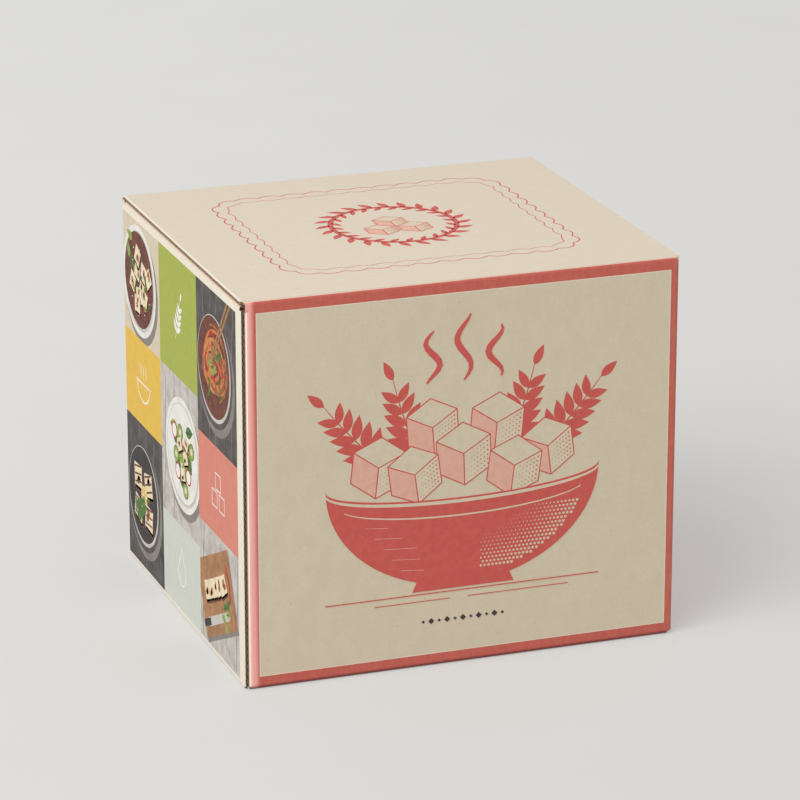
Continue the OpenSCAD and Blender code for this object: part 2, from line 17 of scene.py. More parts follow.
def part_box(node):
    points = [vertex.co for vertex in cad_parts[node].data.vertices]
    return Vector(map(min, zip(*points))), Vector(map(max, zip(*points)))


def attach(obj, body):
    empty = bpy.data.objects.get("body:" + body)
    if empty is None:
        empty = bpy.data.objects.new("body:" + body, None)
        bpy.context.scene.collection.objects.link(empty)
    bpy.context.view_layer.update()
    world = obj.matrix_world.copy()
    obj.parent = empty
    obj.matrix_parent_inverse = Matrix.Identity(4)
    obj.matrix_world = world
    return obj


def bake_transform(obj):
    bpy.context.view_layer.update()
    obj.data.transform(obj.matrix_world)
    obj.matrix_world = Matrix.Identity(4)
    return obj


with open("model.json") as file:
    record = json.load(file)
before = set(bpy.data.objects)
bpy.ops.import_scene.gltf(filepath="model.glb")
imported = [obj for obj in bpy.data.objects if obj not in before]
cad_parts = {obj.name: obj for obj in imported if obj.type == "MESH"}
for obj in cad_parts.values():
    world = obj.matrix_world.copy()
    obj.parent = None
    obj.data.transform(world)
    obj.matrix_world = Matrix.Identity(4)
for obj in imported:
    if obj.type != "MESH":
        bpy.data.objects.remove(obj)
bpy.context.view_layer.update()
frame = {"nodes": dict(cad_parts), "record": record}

LOG = logging.getLogger("tofu_press_carton")
MM = 0.001
FLUTE = 3.3  # pitch of the board's flutes, in mm
GOLDEN_ANGLE = 2.39996  # turn that spreads places evenly over a disc
HALF = math.sqrt(0.5)
Point = tuple[float, float]
Outline = list[Point]
Spot = tuple[float, ...]  # a place across and upwards, and a turn in degrees where it has one
Rgb = tuple[int, ...]
Value = "Field | float | tuple"


def linear(rgb: Rgb) -> tuple[float, ...]:
    """Turns a colour written as sRGB from 0 to 255 into a linear one with alpha 1."""
    parts = [c / 255 for c in rgb]
    return (*(p / 12.92 if p <= 0.04045 else ((p + 0.055) / 1.055) ** 2.4 for p in parts), 1.0)


def scaled(rgb: Rgb, share: float) -> Rgb:
    """Darker or lighter tone of a colour."""
    return tuple(min(255, round(c * share)) for c in rgb)


class Field:
    """A value over a surface: a number, a mask from 0 to 1 or a colour. The signs add nodes to its tree."""

    def __init__(self, graph: "Graph", socket: bpy.types.NodeSocket) -> None:
        """Keeps the tree and the socket that gives the value."""
        self.graph, self.socket = graph, socket

    def __add__(self, other: Value) -> "Field":
        """Sum of two values."""
        return self.graph.calc("ADD", self, other)

    def __sub__(self, other: Value) -> "Field":
        """This value less another."""
        return self.graph.calc("SUBTRACT", self, other)

    def __rsub__(self, other: float) -> "Field":
        """A number less this value."""
        return self.graph.calc("SUBTRACT", other, self)

    def __mul__(self, other: Value) -> "Field":
        """Product of two values. Of two masks it is what both show."""
        return self.graph.calc("MULTIPLY", self, other)

    def __or__(self, other: Value) -> "Field":
        """Larger of two values. Of two masks it is what either shows."""
        return self.graph.calc("MAXIMUM", self, other)

    def __abs__(self) -> "Field":
        """Value without its sign."""
        return self.graph.calc("ABSOLUTE", self)

    def ramp(self, low: float, high: float, kind: str = "LINEAR") -> "Field":
        """Runs from 0 where the value is low to 1 where it is high."""
        ends = {"Value": self, "From Min": low, "From Max": high}
        return self.graph.value("ShaderNodeMapRange", ends, "Result", interpolation_type=kind)

    def above(self, edge: Value, soft: float = 0.05) -> "Field":
        """Mask of what is above an edge that is soft on both sides."""
        return (self - edge).ramp(-soft, soft, "SMOOTHSTEP")

    def below(self, edge: Value, soft: float = 0.05) -> "Field":
        """Mask of what is below an edge that is soft on both sides."""
        return 1.0 - self.above(edge, soft)


class Graph:
    """Node tree of one material, with short calls for what the finishes share. Lengths are in mm."""

    def __init__(self, name: str) -> None:
        """Starts an empty tree with the object's own place and normal.

        Args:
            name: the material's name.
        """
        self.material = bpy.data.materials.new(name)
        self.material.use_nodes = True
        self.tree = self.material.node_tree
        self.tree.nodes.clear()
        source = self.add("ShaderNodeTexCoord").outputs
        self.place = self.value("ShaderNodeVectorMath", {0: source["Object"], 3: 1 / MM}, operation="SCALE")
        self.x, self.y, self.z = self.split(self.place)
        self.nx, self.ny, self.nz = self.split(source["Normal"])

    def add(self, kind: str, inputs: dict | None = None, **settings: object) -> bpy.types.Node:
        """Adds a node.

        Args:
            kind: the node's type.
            inputs: values, fields or sockets for its inputs, by index or name.
            settings: the node's own properties.

        Returns:
            The new node.
        """
        node = self.tree.nodes.new(kind)
        for key, setting in settings.items():
            setattr(node, key, setting)
        for key, value in (inputs or {}).items():
            value = value.socket if isinstance(value, Field) else value
            if isinstance(value, bpy.types.NodeSocket):
                self.tree.links.new(value, node.inputs[key])
            else:
                node.inputs[key].default_value = value
        return node

    def value(self, kind: str, inputs: dict, output: int | str = 0, **settings: object) -> Field:
        """Adds a node, with the same arguments as add(), and gives one of its outputs."""
        return Field(self, self.add(kind, inputs, **settings).outputs[output])

    def split(self, vector: Value) -> Iterator[Field]:
        """Splits a vector into its three parts."""
        return (Field(self, part) for part in self.add("ShaderNodeSeparateXYZ", {0: vector}).outputs)

    def calc(self, operation: str, a: Value, b: Value = 0.0) -> Field:
        """Does one sum of a Math node."""
        return self.value("ShaderNodeMath", {0: a, 1: b}, operation=operation)

    def noise(self, size: float, detail: float = 2.0, stretch: tuple = (1, 1, 1)) -> Field:
        """Smooth noise from 0 to 1 in patches of a size in mm, denser along the axes that are stretched."""
        factors = {0: self.place, 1: tuple(s / size for s in stretch)}
        where = self.value("ShaderNodeVectorMath", factors, operation="MULTIPLY")
        return self.value("ShaderNodeTexNoise", {"Vector": where, "Scale": 1.0, "Detail": detail})

    def mix(self, mask: Value, under: Field | Rgb, over: Field | Rgb) -> Field:
        """Lays one colour over another where the mask shows it."""
        under, over = (c if isinstance(c, Field) else linear(c) for c in (under, over))
        return self.value("ShaderNodeMix", {0: mask, 6: under, 7: over}, 2, data_type="RGBA")

    def tone(self, rgb: Rgb, other: Rgb, size: float, detail: float = 3.0, stretch: tuple = (1, 1, 1)) -> Field:
        """Colour that drifts between two tones, in patches like those of noise()."""
        return self.mix(self.noise(size, detail, stretch).above(0.5, 0.22), rgb, other)

    def bump(self, height: Field, strength: float = 1.0) -> Field:
        """Normal that is bumped by a height in mm."""
        return self.value("ShaderNodeBump", {"Strength": strength, "Distance": MM, "Height": height})

    def finish(self, colour: Field, roughness: Field, normal: Field, **still: float) -> bpy.types.Material:
        """Closes the tree with its shader.

        Args:
            colour: the base colour.
            roughness: the roughness.
            normal: the bumped normal.
            still: sockets of the shader that are the same all over, by name with _ for a space.

        Returns:
            The material.
        """
        shader = self.add("ShaderNodeBsdfPrincipled", {"Base Color": colour, "Roughness": roughness, "Normal": normal})
        for name, value in still.items():
            shader.inputs[name.replace("_", " ")].default_value = value
        self.add("ShaderNodeOutputMaterial", {"Surface": shader.outputs[0]})
        return self.material


# ---- Finishes ----


@dataclass(frozen=True)
class Finish:
    """A finish that pieces and CAD nodes can take."""

    name: str

    def build(self) -> bpy.types.Material:
        """Makes the material."""
        raise NotImplementedError


@dataclass(frozen=True)
class BoardSizes:
    """Sizes of the carton, in mm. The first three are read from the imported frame."""

    half_w: float
    half_d: float
    height: float
    board: float = 1.5
    fold: float = 2.2
    joint_turn: float = 0.24
    border_left: float = 91.2
    border_right: float = 93.5
    border_top: float = 5.4
    border_bottom: float = 5.5
    border_line: float = 0.38
    nick_z: float = 167.1


class BoardGraph(Graph):
    """Node tree of corrugated board: printed liner outside, kraft inside, and flutes at the raw edges."""

    def liner(self, rgb: Rgb, streaks: tuple = (6, 6, 1)) -> Field:
        """Printed liner with the drift, grain, pale spots and dark flecks of recycled paper.

        Args:
            rgb: the printed colour.
            streaks: how much denser the streaks are along each axis.

        Returns:
            The liner's colour.
        """
        colour = self.tone(rgb, scaled(rgb, 0.98), 9.0, 4.0, streaks)
        for size, detail, stretch, edge, soft, share, shade in (
            (0.9, 3.0, (1, 1, 1), 0.54, 0.1, 0.42, 0.95),
            (1.3, 3.0, (1.3, 0.8, 1), 0.66, 0.06, 0.3, 1.04),
            (1.9, 2.0, (0.8, 1.2, 1.5), 0.735, 0.03, 0.45, 0.84),
        ):
            spots = self.noise(size, detail, stretch).above(edge, soft)
            colour = self.mix(spots * share, colour, scaled(rgb, shade))
        return colour

    def kraft(self) -> Field:
        """Brown inner liner."""
        return self.tone((176, 144, 106), (169, 137, 100), 4.0, 5.0)

    def wave(self, along: Field) -> Field:
        """Wave of the flutes between -1 and 1."""
        return self.calc("SINE", along * (2 * math.pi / FLUTE))

    def fluted(self, depth: Field, along: Field, shaded: float = 0.0) -> Field:
        """Raw edge of the board: two liners and a wave between them over hollows darkened by painted shade, with the
        outer liner's white line partly a painted highlight.

        Args:
            depth: how deep below the outer face, in mm.
            along: the place along the edge, in mm.
            shaded: how much painted shade of a joint darkens the inner half.

        Returns:
            The edge's colour.
        """
        crest = abs(depth - (self.wave(along) * 0.38 + 0.76)).below(0.17)
        # painted shade: the flute hollows are darkened, darker still where shaded
        hollow = self.mix(shaded, (118, 92, 68), (30, 20, 14))
        colour = self.mix(crest, hollow, self.tone((196, 164, 128), (168, 137, 103), 2.0))
        colour = self.mix(depth.above(1.32, 0.04), colour, (132, 103, 76))
        # painted shade of a joint over the inner half
        colour = self.mix(shaded, colour, (50, 36, 27))
        # outer liner: a white line, brightened into a partly painted highlight
        return self.mix(depth.below(0.27 - 0.12 * shaded, 0.04), colour, (252, 246, 233))

    def coated(self, colour: Field, along: Field, drift: float, rough: float, gloss: float) -> bpy.types.Material:
        """Closes the tree as coated board, with paper grain, sag and flutes that show faintly through.

        Args:
            colour: the base colour.
            along: the place across the flutes, in mm.
            drift: how much the roughness varies.
            rough: the lowest roughness.
            gloss: the specular level.

        Returns:
            The material.
        """
        height = self.wave(along) * 0.006 + self.noise(0.5, 3.0) * 0.02 + self.noise(38.0) * 0.35
        roughness = self.noise(2.5, 3.0) * drift + rough
        return self.finish(colour, roughness, self.bump(height, 0.8), Specular_IOR_Level=gloss)


FRONT_BEIGE: Rgb = (216, 203, 179)
TOP_BEIGE: Rgb = (219, 207, 188)
FLAP_BEIGE: Rgb = (233, 223, 203)
CREAM: Rgb = (238, 230, 213)
CORAL: Rgb = (200, 102, 88)


@dataclass(frozen=True)
class WrapBoard(Finish):
    """Board of the four walls and the bottom, with the front and rear panels' printed borders."""

    sizes: BoardSizes

    def border(self, g: BoardGraph) -> tuple[Field, Field]:
        """Masks of the coral border of the front and rear panels, and of the pale line inside it.

        Args:
            g: the tree to draw them in.

        Returns:
            The border's mask and the line's mask.
        """
        s = self.sizes
        across = g.calc("MINIMUM", g.x + s.border_left, s.border_right - g.x)
        upright = g.calc("MINIMUM", g.z - s.border_bottom, (s.height - s.border_top) - g.z)
        wobble = (g.noise(3.0, 3.0) - 0.5) * 0.16
        inside = g.calc("MINIMUM", across, upright) + wobble
        line = inside.above(0.0, 0.08) * inside.below(s.border_line, 0.1)
        return inside.below(0.0, 0.08), line

    def coral(self, g: BoardGraph) -> Field:
        """Coral ink: pale pink where it is bent at the left and along the left edge, partly rubbed ink and partly
        painted highlight; painted shade at its foot; warm at the right fold.

        Args:
            g: the tree to draw it in.

        Returns:
            The ink's colour.
        """
        s = self.sizes
        ink = g.tone(CORAL, (194, 93, 82), 4.0, 4.0, (2, 2, 1))
        ink = g.mix(g.noise(0.7).above(0.68) * 0.25, ink, (222, 140, 128))
        # painted highlight, partly rubbed ink: pale pink over the left bend and along the left edge
        bent = abs(g.nx).above(0.12, 0.1) * g.x.below(0.0)
        left_highlight_edge = g.z * (-0.9 / s.height) - (s.border_left + 0.7)
        left_highlight = g.x.below(left_highlight_edge, 1.3) * 0.9
        ink = g.mix((bent | left_highlight) * 0.9, ink, (254, 186, 178))
        # painted shade: the coral darkens to near black along its foot
        ink = g.mix(g.z.below(1.6, 0.6) * 0.62, ink, (72, 28, 26))
        fold = g.x.above(s.half_w - s.fold - 0.6, 0.9) * g.y.below(s.fold - s.half_d)
        return g.mix(fold * g.noise(6.0, 3.0).above(0.45, 0.3) * 0.5, ink, (199, 122, 98))

    def skin(self, g: BoardGraph) -> Field:
        """Outer liner: bordered beige at the front and rear, cream at the left, coral at the right, with painted shade
        under the top panel and along the bottom fold.

        Args:
            g: the tree to draw it in.

        Returns:
            The outer liner's colour.
        """
        s = self.sizes
        turn = s.fold * (1 - HALF)
        front_flat, left_flat = s.fold - s.half_d, s.fold - s.half_w
        at_front = g.y.below((turn - s.half_d) - g.x.below(0.0) * s.joint_turn, 0.03)
        round_right = g.x.above(-left_flat, 0.02) * g.y.below(front_flat)
        panels = (at_front | round_right | g.y.above(s.half_d - turn)) * g.z.above(0.44, 0.06)
        band, line = self.border(g)
        coral = self.coral(g)
        printed = g.mix(line * 0.55, g.liner(FRONT_BEIGE, (1.6, 1.6, 1)), (240, 229, 212))
        printed = g.mix(band, printed, coral)
        # painted shade: tan band just under the top panel's edge
        side = g.mix(g.z.above(s.height - 3.4, 1.0) * 0.55, g.liner(CREAM), (206, 172, 138))
        tab = g.y.below(front_flat + 0.3) * g.x.above(s.board - s.half_w + 0.03) * g.x.below(0.0)
        side = g.mix(tab, side, (253, 247, 235))
        # painted shade: near-black band along the bottom fold under the front panel
        low_fold_shade = g.z.below(0.9, 0.3) * g.y.below(front_flat) * g.x.above(left_flat)
        side = g.mix(low_fold_shade, side, (70, 34, 31))
        side = g.mix(g.x.above(s.half_w - 0.65), side, coral)
        return g.mix(panels, side, printed)

    def build(self) -> bpy.types.Material:
        """Makes the material, with the raw edges of the glued joint and the top, and a painted shadow over the
        corner's nick.

        Returns:
            The walls' board.
        """
        s = self.sizes
        g = BoardGraph(self.name)
        outward = g.nx * g.x + g.ny * g.y + g.nz * (g.z - s.height / 2)
        colour = g.mix(outward.above(0.0, 5.0), g.kraft(), self.skin(g))
        # raw edge of the glued joint, with painted shade over its inner half
        lap = g.ny.below(-0.7) * g.x.below(s.board - s.half_w + 0.04)
        colour = g.mix(lap, colour, g.fluted(g.x + s.half_w, g.z, 0.55))
        corner = g.x.above(s.half_w - 3.5) * g.y.below(3.5 - s.half_d)
        ends = g.nz.above(0.7) * g.z.above(s.height - 6) * (1.0 - corner)
        reach = abs(g.y) + (s.board - s.half_d)
        colour = g.mix(ends, colour, g.fluted(s.board - (reach | 0.0), g.x))
        # painted shadow: a dark patch on the front's top-left corner stands in for the shaded nick
        nick_shadow = g.x.below(1.7 - s.half_w) * g.y.below(2.4 - s.half_d) * g.nz.below(0.9)
        nick_shadow = nick_shadow * g.z.above(s.nick_z, 0.2) * g.z.below(s.height - 1.2)
        colour = g.mix(nick_shadow, colour, g.tone((62, 44, 34), (44, 31, 24), 1.0))
        return g.coated(colour, g.z, 0.16, 0.5, 0.35)


@dataclass(frozen=True)
class LidBoard(Finish):
    """Board of the top panel, whose left and right edges are raw, with a painted highlight along its left rim."""

    sizes: BoardSizes

    def build(self) -> bpy.types.Material:
        """Makes the material.

        Returns:
            The top panel's board.
        """
        s = self.sizes
        g = BoardGraph(self.name)
        # darker and pinker towards the front fold
        front_rim_tint = g.y.below(1.2 - s.half_d, 0.4) * 0.35
        printed = g.mix(front_rim_tint, g.liner(TOP_BEIGE, (1, 5, 1)), (192, 150, 128))
        # painted highlight: pale line along the left rim
        left_rim_highlight = g.x.below(0.78 - s.half_w, 0.28) * 0.6
        printed = g.mix(left_rim_highlight, printed, (252, 246, 234))
        colour = g.mix(g.nz.below(-0.3), printed, g.kraft())
        nicks = abs(g.ny).above(0.95, 0.02) * g.x.below(s.half_w - 4)
        cut = (abs(g.nx).above(0.7) | nicks) * g.z.below(s.height - 0.01, 0.01)
        colour = g.mix(cut, colour, g.fluted(s.height - g.z, g.y))
        return g.coated(colour, g.y, 0.14, 0.5, 0.35)


class FlapKind(Enum):
    """Flaps that fold in under the top panel."""

    DUST = "dust"
    TUCK = "tuck"


@dataclass(frozen=True)
class FlapBoard(Finish):
    """Board of a flap: plain liner outside, kraft inside, raw free edges."""

    kind: FlapKind
    outer: float
    fold_x: float = 95.9
    cut_depth: float = 1.52

    def build(self) -> bpy.types.Material:
        """Makes the material.

        Returns:
            The flap's board.
        """
        g = BoardGraph(self.name)
        outside = g.liner(FLAP_BEIGE, (1, 4, 4))
        if self.kind is FlapKind.DUST:
            through, facing, flat, along = g.z, g.nz, abs(g.nz), g.y
            # painted shade along the fold, where the flap lies under the top panel
            outside = g.mix(abs(g.x).above(self.fold_x, 0.35) * 0.8, outside, (138, 108, 79))
            free = g.z.above(self.outer - self.cut_depth, 0.01)
        else:
            through, facing, flat, along = g.y, g.ny + (g.nz | 0.0), abs(g.ny), g.z
            free = g.nz.below(0.2, 0.1)
        depth = self.outer - through
        colour = g.mix(facing.above(0.2, 0.1), g.kraft(), outside)
        cut = flat.below(0.3) * depth.above(0.0, 0.01) * depth.below(self.cut_depth, 0.01) * free
        colour = g.mix(cut, colour, g.fluted(depth, along))
        return g.coated(colour, along, 0.14, 0.62, 0.25)


@dataclass(frozen=True)
class InkFinish(Finish):
    """Ink on the board, even or mottled between two tones as in a printed picture."""

    rgb: Rgb
    other: Rgb | None = None
    patch: float = 3.0

    def build(self) -> bpy.types.Material:
        """Makes the material.

        Returns:
            The ink's material.
        """
        g = Graph(self.name)
        colour = g.tone(self.rgb, self.other or scaled(self.rgb, 0.95), self.patch, 4.0)
        missed = g.noise(0.55, 1.0).above(0.7) * 0.22
        colour = g.mix(missed, colour, tuple(min(255, round(c + (255 - c) * 0.35)) for c in self.rgb))
        rough = g.noise(1.5) * 0.12 + 0.5
        return g.finish(colour, rough, g.bump(g.noise(0.5), 0.02), Specular_IOR_Level=0.35)


@dataclass(frozen=True)
class PlasticFinish(Finish):
    """Moulded plastic with a fine spark-eroded grain and soft drift in its gloss."""

    rgb: Rgb
    rough: float = 0.28
    grain: float = 0.01

    def build(self) -> bpy.types.Material:
        """Makes the material.

        Returns:
            The plastic's material.
        """
        g = Graph(self.name)
        colour = g.tone(self.rgb, scaled(self.rgb, 0.97), 25.0, 2.0)
        scuffs = g.noise(1.2, 5.0, (1, 1, 6)).above(0.66, 0.04) * 0.12
        colour = g.mix(scuffs, colour, tuple(min(255, c + 22) for c in self.rgb))
        rough = g.noise(4.0, 4.0) * 0.16 + self.rough
        return g.finish(colour, rough, g.bump(g.noise(0.35) * self.grain, 0.9), IOR=1.49)


@dataclass(frozen=True)
class ClearFinish(Finish):
    """Clear moulded plastic, a little smoky, with flow marks."""

    def build(self) -> bpy.types.Material:
        """Makes the material.

        Returns:
            The clear plastic's material.
        """
        g = Graph(self.name)
        colour = g.tone((236, 241, 241), (226, 234, 235), 30.0, 2.0)
        height = g.noise(14.0, 2.0, (1, 1, 0.3)) * 0.05
        rough = g.noise(6.0, 4.0) * 0.1 + 0.04
        return g.finish(colour, rough, g.bump(height, 0.6), IOR=1.5, Transmission_Weight=0.9)


@dataclass(frozen=True)
class RubberFinish(Finish):
    """Matt silicone rubber with dust in its pores."""

    rgb: Rgb

    def build(self) -> bpy.types.Material:
        """Makes the material.

        Returns:
            The rubber's material.
        """
        g = Graph(self.name)
        colour = g.tone(self.rgb, tuple(c + 14 for c in self.rgb), 1.6, 4.0)
        rough = g.noise(3.0, 3.0) * 0.15 + 0.7
        return g.finish(colour, rough, g.bump(g.noise(0.6, 3.0) * 0.03), Specular_IOR_Level=0.3)


@dataclass(frozen=True)
class SteelFinish(Finish):
    """Drawn steel wire and pins, with fine lines round the upright axis."""

    def build(self) -> bpy.types.Material:
        """Makes the material.

        Returns:
            The steel's material.
        """
        g = Graph(self.name)
        colour = g.tone((196, 198, 202), (168, 170, 175), 1.4, 4.0, (1, 1, 5))
        rough = g.noise(0.8, 3.0, (1, 1, 8)) * 0.22 + 0.2
        return g.finish(colour, rough, g.bump(g.noise(0.25, 2.0, (1, 1, 6)) * 0.006), Metallic=1.0)


@dataclass(frozen=True)
class CreaseFinish(Finish):
    """Crushed liner inside a fold."""

    def build(self) -> bpy.types.Material:
        """Makes the material.

        Returns:
            The paper's material.
        """
        g = Graph(self.name)
        fibres = g.tone((196, 166, 128), (150, 120, 88), 1.5, 5.0, (1, 4, 4))
        return g.finish(fibres, g.noise(1.0) * 0.1 + 0.75, g.bump(g.noise(0.6, 4.0), 0.1))


@dataclass(frozen=True)
class FloorFinish(Finish):
    """Pale seamless studio paper, slightly lighter far away, that the camera sees partly lit from within."""

    shown: float = 0.5

    def build(self) -> bpy.types.Material:
        """Makes the material.

        Returns:
            The floor's material.
        """
        g = Graph(self.name)
        colour = g.mix(g.y.ramp(-500.0, 1900.0), (204, 203, 201), (246, 247, 248))
        colour = g.mix(g.noise(300.0) * 0.02, colour, (200, 198, 194))
        paper = g.value("ShaderNodeBsdfDiffuse", {"Color": colour, "Roughness": g.noise(90.0) * 0.4})
        glow = g.mix(g.x.ramp(-500.0, 500.0), (226, 225, 222), (212, 211, 209))
        shown = g.value("ShaderNodeEmission", {"Color": glow, "Strength": 1.0})
        path = g.add("ShaderNodeLightPath").outputs
        camera, glossy, through = (Field(g, path[f"Is {ray} Ray"]) for ray in ("Camera", "Glossy", "Transmission"))
        seen = (camera | glossy | through) * self.shown
        both = g.add("ShaderNodeMixShader", {0: seen, 1: paper, 2: shown})
        g.add("ShaderNodeOutputMaterial", {"Surface": both.outputs[0]})
        return g.material


class Ink(Enum):
    """Inks of the printed panels: a colour, the tone that it drifts to, and the size of its patches in mm."""

    CORAL = ((205, 92, 84), (198, 86, 78))
    DARK = ((62, 54, 54),)
    BOARD = (FRONT_BEIGE, (210, 196, 171))
    BLUSH = ((226, 178, 158), (220, 168, 148))
    WHITE = ((242, 240, 234),)
    GREEN_TILE = ((166, 176, 70), (160, 171, 64))
    CORAL_TILE = ((216, 133, 115), (212, 127, 110))
    YELLOW_TILE = ((229, 188, 72), (225, 182, 66))
    GREY_TILE = ((207, 211, 201), (203, 207, 198))
    LINEN = ((205, 200, 194), (176, 169, 164), 5.0)
    SLATE = ((88, 82, 80), (60, 55, 54), 6.0)
    SHADE = ((140, 132, 127), (122, 114, 110), 4.0)
    DISH = ((236, 234, 228), (221, 219, 213), 8.0)
    DISH_SHADE = ((204, 201, 194), (188, 184, 177), 6.0)
    SAUCE = ((122, 58, 34), (82, 36, 24), 3.0)
    TOFU = ((240, 228, 200), (226, 205, 165), 3.0)
    TOFU_SIDE = ((205, 172, 122), (182, 142, 92), 2.5)
    CRUST = ((176, 108, 52), (130, 72, 34), 1.6)
    LEAF = ((92, 128, 52), (60, 96, 38), 2.0)
    LEAF_PALE = ((158, 182, 86), (126, 156, 66), 2.0)
    RED = ((190, 52, 40), (158, 34, 30), 2.5)
    ORANGE = ((219, 126, 52), (196, 98, 40), 2.5)
    NOODLE = ((206, 152, 84), (172, 112, 56), 2.0)
    WOOD = ((178, 130, 84), (148, 102, 62), 4.0)
    PAN = ((52, 48, 48), (36, 34, 35), 5.0)

    def material(self) -> bpy.types.Material:
        """The ink's material, made at its first use."""
        name = f"ink_{self.name.lower()}"
        return bpy.data.materials.get(name) or InkFinish(name, *self.value).build()


# ---- Meshes ----


def piece(name: str, points: Sequence, faces: Sequence, body: str, slot: str,
          *materials: bpy.types.Material) -> bpy.types.Object:
    """Makes a mesh that rides on a body.

    Args:
        name: the piece's name.
        points: its corners in metres.
        faces: its faces, by corner.
        body: the CAD body that carries it, or nothing for a fold.
        slot: the record's material slot; not used.
        materials: its materials.

    Returns:
        The new object.
    """
    mesh = bpy.data.meshes.new(name)
    mesh.from_pydata([tuple(p) for p in points], [], faces)
    mesh.validate()
    made = bpy.data.objects.new(name, mesh)
    bpy.context.scene.collection.objects.link(made)
    for material in materials:
        mesh.materials.append(material)
    if body:
        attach(made, body)
    LOG.info("%s: %d faces on %s", name, len(mesh.polygons), body or "a fold")
    return made


def smooth(made: bpy.types.Object, sharp: float = 35.0) -> None:
    """Shades a piece smooth except at edges of a sharp angle, in degrees."""
    made.data.shade_smooth()
    made.data.set_sharp_from_angle(angle=math.radians(sharp))


def ellipse(cx: float, cy: float, rx: float, ry: float | None = None, steps: int = 24, start: float = 0.0,
            sweep: float = 360.0) -> Outline:
    """Points of an ellipse or of an arc of it.

    Args:
        cx: the middle across.
        cy: the middle upwards.
        rx: the radius across.
        ry: the radius upwards, or the same.
        steps: how many steps it has.
        start: where it starts, in degrees.
        sweep: how far it goes, in degrees.

    Returns:
        The points. A full turn doesn't repeat its first.
    """
    ry = rx if ry is None else ry
    count = steps if abs(sweep) == 360 else steps + 1
    turns = [math.radians(start + sweep * k / steps) for k in range(count)]
    return [(cx + rx * math.cos(a), cy + ry * math.sin(a)) for a in turns]


def placed(outline: Outline, dx: float, dy: float, turn: float = 0.0, size: float = 1.0) -> Outline:
    """Scales and turns points about the origin, by a turn in degrees, and moves them."""
    c, s = size * math.cos(math.radians(turn)), size * math.sin(math.radians(turn))
    return [(dx + c * u - s * v, dy + s * u + c * v) for u, v in outline]


def stroke(points: Outline, width: float, ends: float = 1.0) -> Outline:
    """Outline of an open line.

    Args:
        points: the line's points.
        width: its width.
        ends: the share of the width that is left at its two ends.

    Returns:
        The outline round the line.
    """
    left, right = [], []
    last = len(points) - 1
    for k, (u, v) in enumerate(points):
        a, b = points[max(k - 1, 0)], points[min(k + 1, last)]
        along = Vector((b[0] - a[0], b[1] - a[1])).normalized()
        half = width / 2 * (ends + (1 - ends) * math.sin(math.pi * k / last))
        left.append((u - along.y * half, v + along.x * half))
        right.append((u + along.y * half, v - along.x * half))
    return right + left[::-1]


def box_outline(u: float, v: float, w: float, h: float) -> Outline:
    """Corners of a rectangle about its middle."""
    return [(u + w * i, v + h * j) for i, j in ((-0.5, -0.5), (0.5, -0.5), (0.5, 0.5), (-0.5, 0.5))]


def leaf(length: float, width: float, steps: int = 6) -> Outline:
    """Outline of a leaf from its stalk at the origin to its tip upwards."""
    side = [(width / 2 * math.sin(math.pi * (k / steps) ** 0.8), length * k / steps) for k in range(steps + 1)]
    return side + [(-u, v) for u, v in side[-2:0:-1]]


def scallops(w: float, h: float, corner: float, count: int, rise: float) -> Outline:
    """Outline of a rounded rectangle about the origin with an even row of scallops along it.

    Args:
        w: half its width.
        h: half its height.
        corner: its corners' radius.
        count: how many scallops it has.
        rise: how far the scallops stand out of it, or in if below 0.

    Returns:
        The outline.
    """
    base: Outline = []
    for quarter, (su, sv) in enumerate(((1, 1), (-1, 1), (-1, -1), (1, -1))):
        base += ellipse(su * (w - corner), sv * (h - corner), corner, corner, 12, 90 * quarter, 90)
    spans = [math.dist(p, q) for p, q in zip(base, base[1:] + base[:1])]
    found, k, done, steps = [], 0, 0.0, count * 10
    for j in range(steps):
        at = sum(spans) * j / steps
        while done + spans[k] < at:
            done += spans[k]
            k += 1
        (u0, v0), (u1, v1) = base[k], base[(k + 1) % len(base)]
        share, out = (at - done) / spans[k], rise * abs(math.sin(math.pi * j / 10))
        along = Vector((u1 - u0, v1 - v0)).normalized()
        found.append((u0 + (u1 - u0) * share + along.y * out, v0 + (v1 - v0) * share - along.x * out))
    return found


def clipped(outline: Outline, window: tuple) -> Outline:
    """Cuts an outline to a rectangle.

    Args:
        outline: the outline.
        window: the rectangle's left, bottom, right and top.

    Returns:
        The part inside, which may be empty.
    """
    for side, edge in enumerate(window):
        axis, sign = side % 2, 1 if side < 2 else -1
        kept: Outline = []
        for k, here in enumerate(outline):
            before = outline[k - 1]
            a, b = sign * (before[axis] - edge), sign * (here[axis] - edge)
            if (a >= 0) != (b >= 0):
                t = a / (a - b)
                kept.append(tuple(before[i] + (here[i] - before[i]) * t for i in (0, 1)))
            if b >= 0:
                kept.append(here)
        outline = kept
    return outline


def cross(a: Point, b: Point, c: Point) -> float:
    """How far the way from a over b to c turns left, as twice the area between them."""
    return (b[0] - a[0]) * (c[1] - b[1]) - (b[1] - a[1]) * (c[0] - b[0])


@dataclass(frozen=True)
class Panel:
    """One outer face of the carton and the way its print reads."""

    origin: tuple[float, float, float]
    across: tuple[float, float, float]
    up: tuple[float, float, float]

    def at(self, u: float, v: float, height: float) -> Vector:
        """Point in metres that is u across, v up and a height off the board, in mm."""
        a, b = Vector(self.across), Vector(self.up)
        return (Vector(self.origin) + a * u + b * v + a.cross(b) * height) * MM


